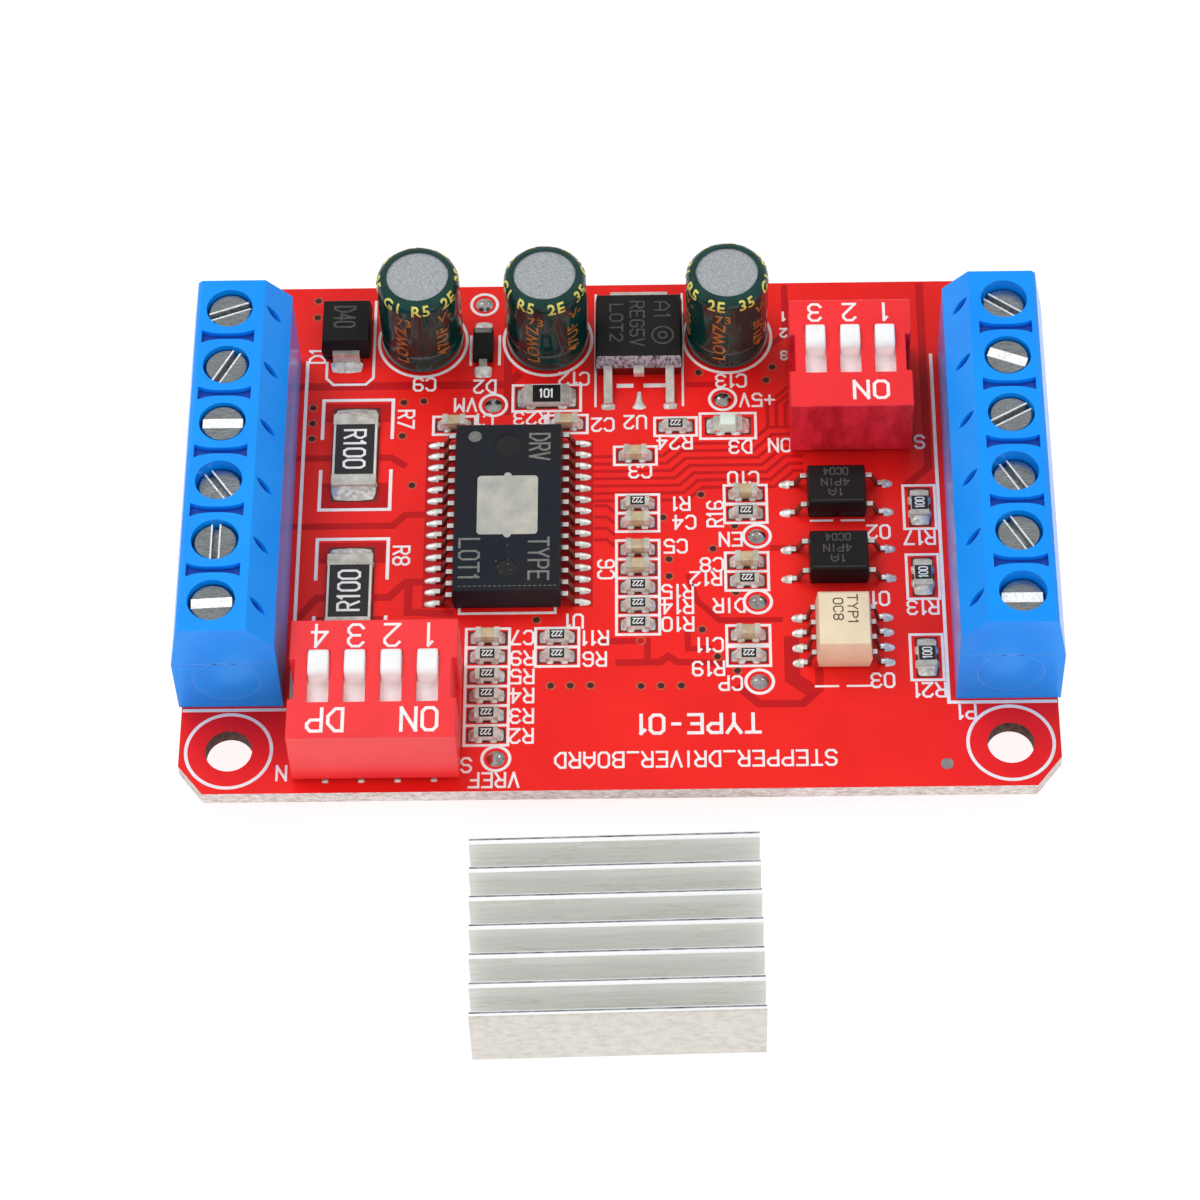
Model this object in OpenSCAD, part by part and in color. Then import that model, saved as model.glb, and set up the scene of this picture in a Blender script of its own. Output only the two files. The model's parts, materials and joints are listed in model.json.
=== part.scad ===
// Stepper motor driver module: a drilled circuit board that carries two rows of rising clamp
// terminals, a power driver chip with a bare heat slug, two slide switch banks, a regulator,
// optocouplers and small parts, and a finned heatsink that lies loose in front of the board.
// The origin is the centre of the mounting hole pattern on the board's underside, +Z is up,
// +X runs along the board and -Y points to the edge that the heatsink lies in front of.

/* [Board] */
// Length of the board along X
board_w = 62; // [62:0.5:90]
// Thickness of the board
board_t = 1.2; // [1:0.1:2.4]
// Board left beyond each end of the terminal blocks
end_margin = 7; // [7:0.5:12]
// Corner cuts of the board along X
corner_cut_x = 1.8; // [1:0.1:2.7]
// Corner cuts of the board along Y
corner_cut_y = 2.3; // [1:0.1:2.7]
// Radius of the mounting holes
hole_r = 1.65; // [1:0.05:2.2]
// Distance from a mounting hole's centre to the board's edges
hole_inset = 3.5; // [3.3:0.1:5]
// How far the terminal pins stand out below the board
pin_tail = 2.2; // [1.5:0.1:3]

/* [Terminal blocks] */
// Distance from one wire entry to the next
pole_pitch = 5.08; // [5:0.01:6.35]
// Height of the block above the board
block_h = 9.9; // [9.6:0.1:14]
// Distance from the screw axis in to the board edge
screw_inset = 2.9; // [2.9:0.1:4]
// Distance from the screw axis to the block's outer face
block_out = 3.1; // [2.9:0.1:4]
// Distance from the screw axis to the block's inner face
block_in = 4.3; // [4.2:0.1:6]
// Radius of the screw head
head_r = 1.575; // [1.4:0.025:1.8]
// Height of the screw head
head_h = 1.5; // [1.2:0.1:1.7]
// Radius of the screw shank
shank_r = 1.25; // [1:0.05:1.3]
// Lift of the clamp cage for one turn of its screw
thread_pitch = 0.45; // [0.4:0.05:0.5]
// Travel of a clamp cage from open to closed
cage_lift = 1.6; // [1:0.1:1.7]

/* [Slide switches] */
// Distance from one slider to the next
slide_pitch = 2.54; // [2.54:0.01:3.2]
// Length of a switch body along Y
switch_d = 9.7; // [9.6:0.1:12]
// Height of a switch body above the board
switch_h = 5.8; // [5:0.1:8]
// Width of a slider window
window_w = 1.55; // [1.2:0.05:1.7]
// Length of a slider window
window_l = 4.2; // [3.6:0.1:4.2]
// Travel of a slider from off to on
slide_travel = 1.8; // [1.2:0.1:1.8]

/* [Capacitors] */
// Radius of an electrolytic capacitor over its sleeve
cap_r = 3.05; // [2.5:0.05:3.6]
// Height of an electrolytic capacitor above the board
cap_h = 8; // [6:0.5:13]

/* [Driver chip] */
// Width of the chip's body along X
chip_w = 7.85; // [7:0.05:9.4]
// Pitch of the chip's leads
lead_pitch = 1; // [0.9:0.05:1.2]
// Height of the chip's top above the board
chip_h = 2.35; // [2.1:0.05:2.9]
// Size of the heat slug along X and Y
slug_size = [4.4, 5.15]; // [3:0.05:6]

/* [Heatsink] */
// Length of the heatsink along its fins
sink_w = 20; // [14:0.5:26]
// Depth of the heatsink across its fins
sink_d = 14; // [12:0.5:20]
// Height of the heatsink
sink_h = 6; // [4:0.5:10]
// Thickness of the heatsink's base
sink_base = 1.5; // [1:0.1:2.5]
// Number of fins
fins = 7; // [4:1:8]
// Thickness of a fin at its tip
fin_tip = 0.5; // [0.4:0.05:0.8]
// Gap between the board's front edge and the heatsink
sink_gap = 5; // [3:0.5:15]

/* [Hidden] */
$fn = 48;
ways = 6;
sides = ["left", "right"];
slides4 = 4;
slides3 = 3;

// Clearances
run_gap = 0.05;   // round parts that turn in a bore, on the radius
slide_gap = 0.15; // sliders beside each other
cage_gap = 0.1;   // clamp cages beside the walls of their cavities
seat_gap = 0.02;  // pieces pressed together
hole_gap = 0.1;   // pins in the board's drilled holes, on the radius
eps = 0.01;       // overshoot of a cut past a face

// Board
top = board_t;
block_len = ways * pole_pitch;
board_d = block_len + 2 * end_margin;
table_z = -pin_tail;

// Terminal block, seen along Y with the screw axis at x = 0 and the outer face at -x
screw_x = board_w / 2 - screw_inset;
block_y = 0.2;
floor_t = 0.7;
lean_z = 5.5;
lean_in = 0.74;
slope_run = 1.8;
slope_drop = 2;
cage_w = 4;
cage_wall = 0.6;
cage_open = 2.9;
cage_plate = 1;
cage_h = cage_wall + cage_open + cage_plate;
cage_z = floor_t + 0.1;
cavity_w = cage_w + 2 * cage_gap;
cavity_top = cage_z + cage_h + cage_lift + slide_gap;
shelf_t = 0.5;
head_gap = 0.1;
seat_z = cavity_top + shelf_t;
head_bore_r = head_r + head_gap;
bar_w = 2.4;
bar_t = 0.7;
bar_z = cage_z + cage_wall + cage_open - 0.1 - bar_t;
leg_t = 0.7;
leg_x = cage_w / 2 + 0.3;
pin_w = 1;
pin_hole_r = 0.75;
entry_h = 3.2;
entry_w = 3.5;
slot_w = 0.6;
slot_d = 0.7;
// Height of each screw above its lowest seat, and the direction of its slot, from the back
screw_rise = [[0.45, 0.55, 0.6, 0, 0.5, 0.45], [0, 0.6, 0.55, 0, 0.45, 0]];
slot_dir = [[20, 62, 0, -55, 90, 3], [-36, -21, 30, -60, -60, 0]];
notch_l = 3.8;
notch_end = 1.15;
notch_mid = 0.5;
notch_deep = 1;
slit_l = 1.74;
slit_w = 0.6;
slit_deep = 0.8;
slit_turn = -26;
slit_at = 0.37;  // share of the way down the slope
slit_y = -0.05;
mark_r = 2.4;    // round moulding mark on each end face
mark_z = 3.3;
edge_soft = 0.25;

// Slide switches: centres, measured from the board's centre line and its edges
standoff = 0.3;
switch4_x = -17.05;
switch4_y = -board_d / 2 + 0.95 + switch_d / 2;
switch3_x = 17.05;
switch3_y = board_d / 2 - 6.1 - switch_d / 2;
end_wall = [1.3, 1.15];
cover_t = 0.9;
cover_wall = 0.35;
window_shift = [0.2, 0.35];
knob_spare = 0.2; // room left in front of a knob at the end of its travel
knob_l = window_l - slide_travel - 2 * run_gap - knob_spare;
knob_rise = 0.6;
plate_t = 0.7;
plate_lap = 0.15;
boss_l = 1.6;
boss_w = 0.9;
base_t = 1.4;
strip_t = 0.2;
row_pitch = 7.62;
switch_pin_r = 0.25;

// Electrolytic capacitors
cap_at = [[-14.7, board_d / 2 - 5.15], [-5.33, board_d / 2 - 5.15], [8.1, board_d / 2 - 5.1]];
sleeve_t = 0.12;
cap_stand = 0.2;
cap_round = 0.6;
cap_lead_gap = 2.5;
cap_lead_r = 0.25;
disc_r = cap_r - sleeve_t - cap_round - 0.06;
bead_z = 1.6;
bung_t = 1.1;

// Chip, regulator and other moulded parts
chip_at = [-8.05, 0.45];
leads_a_side = 15;
chip_d = leads_a_side * lead_pitch + 0.1;
chip_span = 10.6;
slug_proud = 0.02;
slug_deep = 0.5;
stub_r = 0.28;
reg_at = [1.5, board_d / 2 - 5.55];
reg_size = [6.5, 6.2, 2.3];
reg_lead_pitch = 2.3;
diode1_at = [-20.35, board_d / 2 - 4.8];
diode1_size = [3.7, 4.1, 2.3];
diode2_at = [-10.15, board_d / 2 - 6];
diode2_size = [1.55, 2.6, 1.15];
opto_x = 15.85;
opto_y = [2.3, -3.5];
opto_size = [4.3, 3.6, 2];
opto_span = 7;
cream_at = [16, -10.05];
cream_size = [3.95, 5, 3.2];
cream_span = 6;

// Chip resistors and ceramic capacitors: centre, and turned a quarter turn or not
small_r = [
    [1.35, 2.02], [1.35, -5.3], [1.35, -6.9], [1.35, -8.53],
    [9.23, 1.05], [9.23, -4.85], [9.23, -11.3],
    [-9.4, -11.12], [-9.4, -12.77], [-9.4, -14.4], [-9.4, -16.03], [-9.4, -17.68],
    [-4.44, -9.54], [-4.44, -11.15], [4.18, 8.94]];
small_c = [
    [1.35, 0.4], [1.35, -2.02], [1.35, -3.67],
    [9.23, 2.75], [9.23, -3.2], [9.23, -9.5],
    [-9.4, -9.54], [1.2, 6.35], [-12.2, 9.28], [-3.9, 9.28]];
upright_r = [[21.9, 1.45], [21.9, -4.65], [21.9, -11.55]];
mid_r = [[-5.37, 11.7]];
sense_r = [[-19.45, 6.75], [-19.45, -5.75]];
led_at = [8.05, 8.95];
small_size = [1.6, 0.82, 0.45];
ceramic_h = 0.8;
upright_size = [2, 1.25, 0.55];
mid_size = [3.2, 1.6, 0.55];
sense_size = [6.3, 3.2, 0.65];
led_size = [2, 1.25, 0.8];
cap_skin = 0.04;

// Solder
test_points = [[diode2_at[0], board_d / 2 - 1.74], [-9.33, 11.1], [7.7, 11.4], [10, -0.95], [9.96, -6.66],
    [9.96, -13.45], [-8.68, -19.6]];
fillet_h = 0.9;
fillet_r = 1.15;

// Heatsink
sink_x = -0.2;
sink_y = -board_d / 2 - sink_gap - sink_d / 2;
sink_turn = 1;
fin_root = fin_tip + 0.15;

// Shapes that repeat

// A moulded package whose four sides and both ends slope away from its parting line
module moulded(size, part_z, draft, chamfer = 0) {
    w = size[0] / 2;
    d = size[1] / 2;
    h = size[2];
    side = [[-w + draft, 0], [w - draft, 0], [w, part_z], [w - draft, h], [-w + draft, h], [-w, part_z]];
    end = [[-d + draft, 0], [d - draft, 0], [d, part_z], [d - draft, h - chamfer],
        [d - draft - chamfer, h], [-d + draft, h], [-d, part_z]];
    intersection() {
        rotate([90, 0, 0]) linear_extrude(size[1] + 1, center = true) polygon(side);
        rotate([90, 0, 90]) linear_extrude(size[0] + 1, center = true) polygon(end);
    }
}

// A gull wing lead that leaves a package at x = 0, height z, and ends flat on the board at x = reach
module gull_lead(reach, z, width, t, foot) {
    shoulder = max(t, (reach - foot) * 0.45);
    rotate([90, 0, 0]) linear_extrude(width, center = true)
        polygon([[0, z], [shoulder - t * 0.3, z], [reach - foot - t * 0.2, 0], [reach, 0],
            [reach, t], [reach - foot + t * 0.6, t], [shoulder + t * 0.5, z + t], [0, z + t]]);
}

// Two mirrored rows of gull wing leads along Y, leaving a body of width w
module lead_rows(w, span, pitch, count, z, width, t, foot) {
    for (side = [0, 1], i = [0 : count - 1])
        mirror([side, 0, 0]) translate([w / 2, (i - (count - 1) / 2) * pitch, 0])
            gull_lead((span - w) / 2, z, width, t, foot);
}

// Centre of pole i of a terminal block, counted from the back
function pole_y(i) = block_y + ((ways + 1) / 2 - i) * pole_pitch;

// Everything of one side is drawn at the left and mirrored for the right
module on_side(s) {
    mirror([s, 0, 0]) translate([-screw_x, 0, top]) children();
}

module at_pole(s, i) {
    on_side(s) translate([0, pole_y(i), 0]) children();
}

// Slider i of a switch, counted from the right
function slider_x(centre, count, i) = centre + ((count + 1) / 2 - i) * slide_pitch;

// The two pins of one switch position
module at_switch_pins() {
    for (i = [1 : slides4], row = [-1, 1])
        translate([slider_x(switch4_x, slides4, i), switch4_y + row * row_pitch / 2, 0]) children();
    for (i = [1 : slides3], row = [-1, 1])
        translate([slider_x(switch3_x, slides3, i), switch3_y + row * row_pitch / 2, 0]) children();
}

module at_cap_leads() {
    for (c = cap_at, side = [-1, 1])
        translate([c[0] + side * cap_lead_gap / 2, c[1], 0]) children();
}

module at_terminal_pins() {
    for (s = [0, 1], i = [1 : ways])
        mirror([s, 0, 0]) translate([-screw_x + leg_x + leg_t / 2, pole_y(i), 0]) children();
}

// Sub-parts

module circuit_board() {
    x = board_w / 2;
    y = board_d / 2;
    cx = corner_cut_x;
    cy = corner_cut_y;
    color("red") difference() {
        linear_extrude(board_t)
            polygon([[-x + cx, -y], [x - cx, -y], [x, -y + cy], [x, y - cy],
                [x - cx, y], [-x + cx, y], [-x, y - cy], [-x, -y + cy]]);
        for (sx = [-1, 1], sy = [-1, 1])
            translate([sx * (x - hole_inset), sy * (y - hole_inset), -eps])
                cylinder(h = board_t + 2 * eps, r = hole_r);
        at_terminal_pins() translate([0, 0, -eps]) cylinder(h = board_t + 2 * eps, r = pin_hole_r, $fn = 24);
        at_switch_pins() translate([0, 0, -eps])
            cylinder(h = board_t + 2 * eps, r = switch_pin_r + hole_gap, $fn = 24);
        at_cap_leads() translate([0, 0, -eps])
            cylinder(h = board_t + 2 * eps, r = cap_lead_r + hole_gap, $fn = 24);
    }
}

// Outline of a terminal block seen along Y
module block_outline() {
    polygon([[-block_out, 0], [-block_out, lean_z], [-block_out + lean_in - edge_soft / 6, block_h - edge_soft],
        [-block_out + lean_in + edge_soft, block_h], [block_in - slope_run, block_h],
        [block_in, block_h - slope_drop], [block_in, 0]]);
}

module block_cavity() {
    // Room for the cage and the contact's leg
    translate([-cavity_w / 2, -cavity_w / 2, floor_t])
        cube([cavity_w / 2 + leg_x + leg_t + slide_gap, cavity_w, cavity_top - floor_t]);
    // Wire entry through the outer face
    translate([-block_out - 1, -entry_w / 2, cage_z + cage_wall]) cube([block_out, entry_w, entry_h]);
    // Slot for the contact's pin through the floor
    translate([leg_x - hole_gap, -pin_w / 2 - hole_gap, -1])
        cube([leg_t + 2 * hole_gap, pin_w + 2 * hole_gap, floor_t + 2]);
    // Screw shank and head
    cylinder(h = block_h, r = shank_r + run_gap);
    translate([0, 0, seat_z]) cylinder(h = block_h, r = head_bore_r);
    slope_slit();
}

// Slanted slit with pointed ends on the inner slope
module slope_slit() {
    arc_r = (pow(slit_l / 2, 2) + pow(slit_w / 2, 2)) / slit_w;
    tilt = atan(slope_drop / slope_run);
    translate([block_in - (1 - slit_at) * slope_run, slit_y, block_h - slit_at * slope_drop])
        rotate([0, tilt, 0]) rotate([0, 0, slit_turn]) intersection() {
            translate([0, arc_r - slit_w / 2, -slit_deep]) cylinder(h = 2 * slit_deep, r = arc_r);
            translate([0, slit_w / 2 - arc_r, -slit_deep]) cylinder(h = 2 * slit_deep, r = arc_r);
        }
}

// Half width of a bow tie notch at a share u of its half length
function notch_half(u) = notch_mid / 2 + (notch_end - notch_mid) / 2 * pow(u, 3);

// Bow tie notch between two screws
module block_notch() {
    steps = [-1 : 0.2 : 1];
    translate([0, 0, block_h - notch_deep]) linear_extrude(notch_deep + 1)
        polygon(concat([for (u = steps) [u * notch_l / 2, -notch_half(abs(u))]],
            [for (u = steps) [-u * notch_l / 2, notch_half(abs(u))]]));
}

module terminal_housing(s) {
    color("dodgerblue") on_side(s) difference() {
        translate([0, block_y, 0]) rotate([90, 0, 0])
            linear_extrude(block_len, center = true) block_outline();
        for (i = [1 : ways]) translate([0, pole_y(i), 0]) block_cavity();
        for (i = [1 : ways - 1]) translate([0, pole_y(i) - pole_pitch / 2, 0]) block_notch();
        // Faint step line and round moulding mark on each end
        for (side = [-1, 1]) translate([0, block_y + side * block_len / 2, 0]) {
            translate([-block_out - 1, -0.05, lean_z]) cube([block_out + block_in + 2, 0.1, 0.1]);
            translate([(block_in - block_out) / 2, 0, mark_z]) rotate([90, 0, 0]) difference() {
                cylinder(h = 0.08, r = mark_r, center = true);
                cylinder(h = 0.1, r = mark_r - 0.1, center = true);
            }
        }
    }
}

module terminal_contacts() {
    pin_end = pin_tail + board_t;
    color("gold") for (s = [0, 1], i = [1 : ways]) at_pole(s, i) {
        translate([-cage_w / 2 + 0.3, -bar_w / 2, bar_z]) cube([cage_w / 2 - 0.3 + leg_x + leg_t, bar_w, bar_t]);
        translate([leg_x, -bar_w / 2, floor_t + seat_gap])
            cube([leg_t, bar_w, bar_z + bar_t - floor_t - seat_gap]);
        translate([leg_x, -pin_w / 2, -pin_end]) cube([leg_t, pin_w, pin_end + floor_t + 0.5]);
    }
}

// Cheese head screw, drawn with its lowest seat at seat_z
module terminal_screw(s, i) {
    chamfer = 0.15;
    tip_z = bar_z + bar_t + run_gap;
    color("silver") at_pole(s, i) translate([0, 0, screw_rise[s][i - 1]]) difference() {
        rotate_extrude() polygon([[0, tip_z], [shank_r - 0.3, tip_z], [shank_r, tip_z + 0.3],
            [shank_r, seat_z + seat_gap], [head_r, seat_z + seat_gap],
            [head_r, seat_z + head_h - chamfer], [head_r - chamfer, seat_z + head_h], [0, seat_z + head_h]]);
        mirror([s, 0, 0]) rotate([0, 0, slot_dir[s][i - 1]])
            translate([-head_r - 1, -slot_w / 2, seat_z + head_h - slot_d])
                cube([2 * head_r + 2, slot_w, slot_d + 1]);
    }
}

module clamp_cage(s, i) {
    w = cage_w / 2;
    color("silver") at_pole(s, i) translate([0, 0, cage_z]) difference() {
        translate([-w, -w, 0]) cube([cage_w, cage_w, cage_h]);
        translate([-w - 1, -w + cage_wall, cage_wall])
            cube([cage_w + 2, cage_w - 2 * cage_wall, cage_open]);
        translate([0, 0, cage_wall + cage_open - eps]) cylinder(h = cage_plate + 1, r = shank_r + run_gap);
    }
}

// Slide switch bank: shell, base, contacts and sliders. k picks the bank: 0 has four, 1 has three
function bank_x(k) = k == 0 ? switch4_x : switch3_x;
function bank_y(k) = k == 0 ? switch4_y : switch3_y;
function bank_n(k) = k == 0 ? slides4 : slides3;
function bank_w(k) = (bank_n(k) - 1) * slide_pitch + window_w + 2 * end_wall[k];
function window_y(k) = bank_y(k) + window_shift[k];

module switch_cover(k) {
    w = bank_w(k);
    groove = 0.4;
    groove_l = 3.3;
    color(k == 0 ? "tomato" : "crimson") translate([bank_x(k), bank_y(k), top + standoff]) difference() {
        translate([-w / 2, -switch_d / 2, 0]) cube([w, switch_d, switch_h - standoff]);
        // Hollow under the top
        translate([-w / 2 + 2 * cover_wall, -switch_d / 2 + cover_wall, -1])
            cube([w - 4 * cover_wall, switch_d - 2 * cover_wall, switch_h - standoff - cover_t + 1]);
        // Slider windows
        for (i = [1 : bank_n(k)])
            translate([slider_x(0, bank_n(k), i) - window_w / 2, window_shift[k] - window_l / 2, 0])
                cube([window_w, window_l, switch_h]);
        // Gripping groove in each side
        for (side = [0, 1]) mirror([side, 0, 0])
            translate([w / 2 - groove, -groove_l / 2, 1]) cube([groove + 1, groove_l, switch_h]);
    }
}

module switch_base(k) {
    w = bank_w(k) - 4 * cover_wall - 2 * seat_gap;
    d = switch_d - 2 * cover_wall - 2 * seat_gap;
    color("brown") difference() {
        translate([bank_x(k) - w / 2, bank_y(k) - d / 2, top + standoff]) cube([w, d, base_t]);
        at_switch_pins() cylinder(h = 20, r = switch_pin_r + seat_gap, $fn = 24);
    }
    color("brown") for (sx = [-1, 1], sy = [-1, 1])
        translate([bank_x(k) + sx * (w / 2 - 0.6), bank_y(k) + sy * (d / 2 - 0.6), top])
            cylinder(h = standoff + eps, r = 0.4, $fn = 24);
}

// Each position has two pins, each with a flat strip on the base under the slider
module switch_contacts() {
    strip_l = row_pitch / 2 - 0.5;
    color("silver") at_switch_pins() translate([0, 0, -pin_tail + 0.3])
        cylinder(h = pin_tail - 0.3 + top + standoff + base_t + strip_t, r = switch_pin_r, $fn = 24);
    color("silver") for (k = [0, 1], i = [1 : bank_n(k)], row = [-1, 1])
        translate([slider_x(bank_x(k), bank_n(k), i) - 0.35, bank_y(k), top + standoff + base_t])
            mirror([0, row < 0 ? 1 : 0, 0]) translate([0, 0.5, 0]) cube([0.7, strip_l + 0.3, strip_t]);
}

// A slider rests at the back end of its window and slides toward -Y
module switch_slider(k, i) {
    deck_z = top + switch_h - cover_t - run_gap;
    plate_l = window_l + slide_travel + 2 * plate_lap;
    plate_w = slide_pitch - 2 * slide_gap;
    back = window_y(k) + window_l / 2;
    floor_z = top + standoff + base_t + strip_t + run_gap;
    color("white") translate([slider_x(bank_x(k), bank_n(k), i), 0, 0]) {
        translate([-plate_w / 2, back + slide_travel + plate_lap - plate_l, deck_z - plate_t])
            cube([plate_w, plate_l, plate_t]);
        knob(back - run_gap - knob_l, deck_z - eps, top + switch_h + knob_rise);
        translate([-boss_w / 2, back - run_gap - knob_l / 2 - boss_l / 2, floor_z])
            cube([boss_w, boss_l, deck_z - plate_t - floor_z + eps]);
    }
}

// Knob with sloped ends, from y = front, between two heights
module knob(front, z0, z1) {
    w = window_w - 2 * run_gap;
    slope = 0.3;
    translate([0, front, z0]) rotate([90, 0, 90]) linear_extrude(w, center = true)
        polygon([[0, 0], [knob_l, 0], [knob_l, z1 - z0 - 0.35], [knob_l - slope, z1 - z0],
            [slope, z1 - z0], [0, z1 - z0 - 0.35]]);
}

// Can of an electrolytic capacitor, with the crimped bead above its seal
module capacitor_can(at) {
    r = cap_r - sleeve_t - seat_gap;
    h = cap_h - sleeve_t;
    mouth = cap_stand + sleeve_t;
    color("gainsboro") translate([at[0], at[1], top]) rotate_extrude()
        polygon(concat([[0, mouth + bung_t + seat_gap], [r - 0.2, mouth + bung_t + seat_gap],
            [r - 0.2, mouth], [r, mouth], [r, bead_z - 0.5], [r - 0.25, bead_z], [r, bead_z + 0.5]],
            [for (a = [0 : 15 : 90]) [r - cap_round + cap_round * cos(a), h - cap_round + cap_round * sin(a)]],
            [[0, h]]));
}

// Shrunk plastic sleeve, turned in over both ends of the can
module capacitor_sleeve(at) {
    ri = cap_r - sleeve_t;
    ro = cap_r;
    q = cap_round + seat_gap;
    h = cap_h - sleeve_t + seat_gap;
    m = cap_stand;
    color("darkgreen") translate([at[0], at[1], top]) rotate_extrude()
        polygon(concat([[ro - 0.6, m], [ro - 0.1, m], [ro, m + 0.1], [ro, bead_z - 0.45], [ro - 0.12, bead_z],
            [ro, bead_z + 0.45]],
            [for (a = [0 : 15 : 90]) [ri - q + (q + sleeve_t) * cos(a), h - q + (q + sleeve_t) * sin(a)]],
            [[disc_r, h + sleeve_t - 0.01], [disc_r, h]],
            [for (a = [90 : -15 : 0]) [ri - q + q * cos(a), h - q + q * sin(a)]],
            [[ri, bead_z + 0.5], [ri - 0.12, bead_z], [ri, bead_z - 0.5],
            [ri, m + sleeve_t - 0.01], [ro - 0.6, m + sleeve_t - 0.01]]));
}

module capacitor_bung(at) {
    r = cap_r - sleeve_t - seat_gap - 0.2 - seat_gap;
    color("dimgray") translate([at[0], at[1], top]) difference() {
        union() {
            translate([0, 0, cap_stand + sleeve_t]) cylinder(h = bung_t, r = r);
            cylinder(h = cap_stand + sleeve_t + eps, r = r - 0.9);
        }
        for (side = [-1, 1]) translate([side * cap_lead_gap / 2, 0, -1])
            cylinder(h = 5, r = cap_lead_r + seat_gap, $fn = 24);
    }
}

module capacitor_cans() { for (c = cap_at) capacitor_can(c); }
module capacitor_sleeves() { for (c = cap_at) capacitor_sleeve(c); }
module capacitor_bungs() { for (c = cap_at) capacitor_bung(c); }

module capacitor_leads() {
    color("silver") at_cap_leads() translate([0, 0, -pin_tail + 0.4])
        cylinder(h = pin_tail - 0.4 + top + cap_stand + sleeve_t + bung_t, r = cap_lead_r, $fn = 24);
}

module driver_chip_body() {
    stand = 0.1;
    color("dimgray") translate([chip_at[0], chip_at[1], top]) difference() {
        translate([0, 0, stand]) moulded([chip_w, chip_d, chip_h - stand], 1.05, 0.12, 0.35);
        translate([0, 0, chip_h - slug_deep]) slug_outline(seat_gap);
        // Index mark and the two ejector marks
        translate([-2.45, chip_d / 2 - 1.4, chip_h - 0.06]) cylinder(h = 1, r = 0.5);
        translate([0, chip_d / 2 - 2.2, chip_h - 0.06]) cylinder(h = 1, r = 0.95);
        translate([0, -chip_d / 2 + 2.1, chip_h - 0.06]) cylinder(h = 1, r = 0.75);
    }
}

// Slug with round corners and a small round tie bar stub at its front and back
module slug_outline(gap) {
    r = 0.3;
    w = slug_size[0] / 2 + gap;
    d = slug_size[1] / 2 + gap;
    linear_extrude(slug_deep + slug_proud) {
        translate([-w + r, -d]) square([2 * w - 2 * r, 2 * d]);
        translate([-w, -d + r]) square([2 * w, 2 * d - 2 * r]);
        for (side = [-1, 1]) translate([0, side * slug_size[1] / 2]) circle(stub_r + gap);
        for (sx = [-1, 1], sy = [-1, 1]) translate([sx * (w - r), sy * (d - r)]) circle(r);
    }
}

module heat_slug() {
    color("antiquewhite") translate([chip_at[0], chip_at[1], top + chip_h - slug_deep + seat_gap / 2])
        slug_outline(0);
}

module driver_chip_leads() {
    color("silver") translate([chip_at[0], chip_at[1], top])
        lead_rows(chip_w, chip_span, lead_pitch, leads_a_side, 1.05, 0.4, 0.2, 0.55);
}

module regulator_body() {
    color("dimgray") translate([reg_at[0], reg_at[1], top + 0.05]) moulded(reg_size, 1.1, 0.15, 0.2);
}

module regulator_leads() {
    t = 0.5;
    front = reg_size[1] / 2;
    color("silver") translate([reg_at[0], reg_at[1], top]) {
        // Heat tab at the back
        translate([-2.65, front + seat_gap, 0]) cube([5.3, 0.95, t]);
        translate([-2.15, front + 0.9, 0]) cube([4.3, 0.5, t]);
        // Outer leads
        for (side = [-1, 1]) translate([side * reg_lead_pitch, -front, 0]) rotate([0, 0, -90])
            gull_lead(2.75, 1, 0.65, t, 0.9);
        // Cut middle lead
        translate([-0.4, -front - 0.75, 1]) cube([0.8, 0.75, t]);
    }
}

// A chip part lies along X: body, and a metal cap over each end
module chip_part(size) {
    translate([0, 0, size[2] / 2]) cube(size, center = true);
}

module chip_caps(size, band) {
    w = size[1] + 2 * cap_skin;
    h = size[2] + 2 * cap_skin;
    for (side = [0, 1]) mirror([side, 0, 0]) difference() {
        translate([size[0] / 2 - band, -w / 2, 0]) cube([band + cap_skin, w, h]);
        translate([size[0] / 2 - band - 1, -size[1] / 2, cap_skin]) cube([band + 1, size[1], size[2]]);
    }
}

module at_chips(list, turn = 0) {
    for (p = list) translate([p[0], p[1], top]) rotate([0, 0, turn]) children();
}

module resistor_bodies() {
    lift = cap_skin;
    color("ivory") {
        at_chips(small_r) translate([0, 0, lift]) chip_part(small_size);
        at_chips(upright_r, 90) translate([0, 0, lift]) chip_part(upright_size);
        at_chips(mid_r) translate([0, 0, lift]) chip_part(mid_size);
        at_chips(sense_r, 90) translate([0, 0, lift]) chip_part(sense_size);
    }
}

module ceramic_capacitor_bodies() {
    size = [small_size[0], small_size[1], ceramic_h];
    color("tan") at_chips(small_c) translate([0, 0, cap_skin]) chip_part(size);
}

module chip_end_caps() {
    color("silver") {
        at_chips(small_r) chip_caps(small_size, 0.3);
        at_chips(small_c) chip_caps([small_size[0], small_size[1], ceramic_h], 0.35);
        at_chips(upright_r, 90) chip_caps(upright_size, 0.4);
        at_chips(mid_r) chip_caps(mid_size, 0.5);
        at_chips(sense_r, 90) chip_caps(sense_size, 0.9);
        at_chips([led_at]) chip_caps([led_size[0], led_size[1], 0.35], 0.4);
    }
}

module diode_bodies() {
    color("black") {
        translate([diode1_at[0], diode1_at[1], top + 0.05]) moulded(diode1_size, 1.15, 0.15, 0.1);
        translate([diode2_at[0], diode2_at[1], top + 0.05]) moulded(diode2_size, 0.5, 0.08, 0.05);
    }
}

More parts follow.
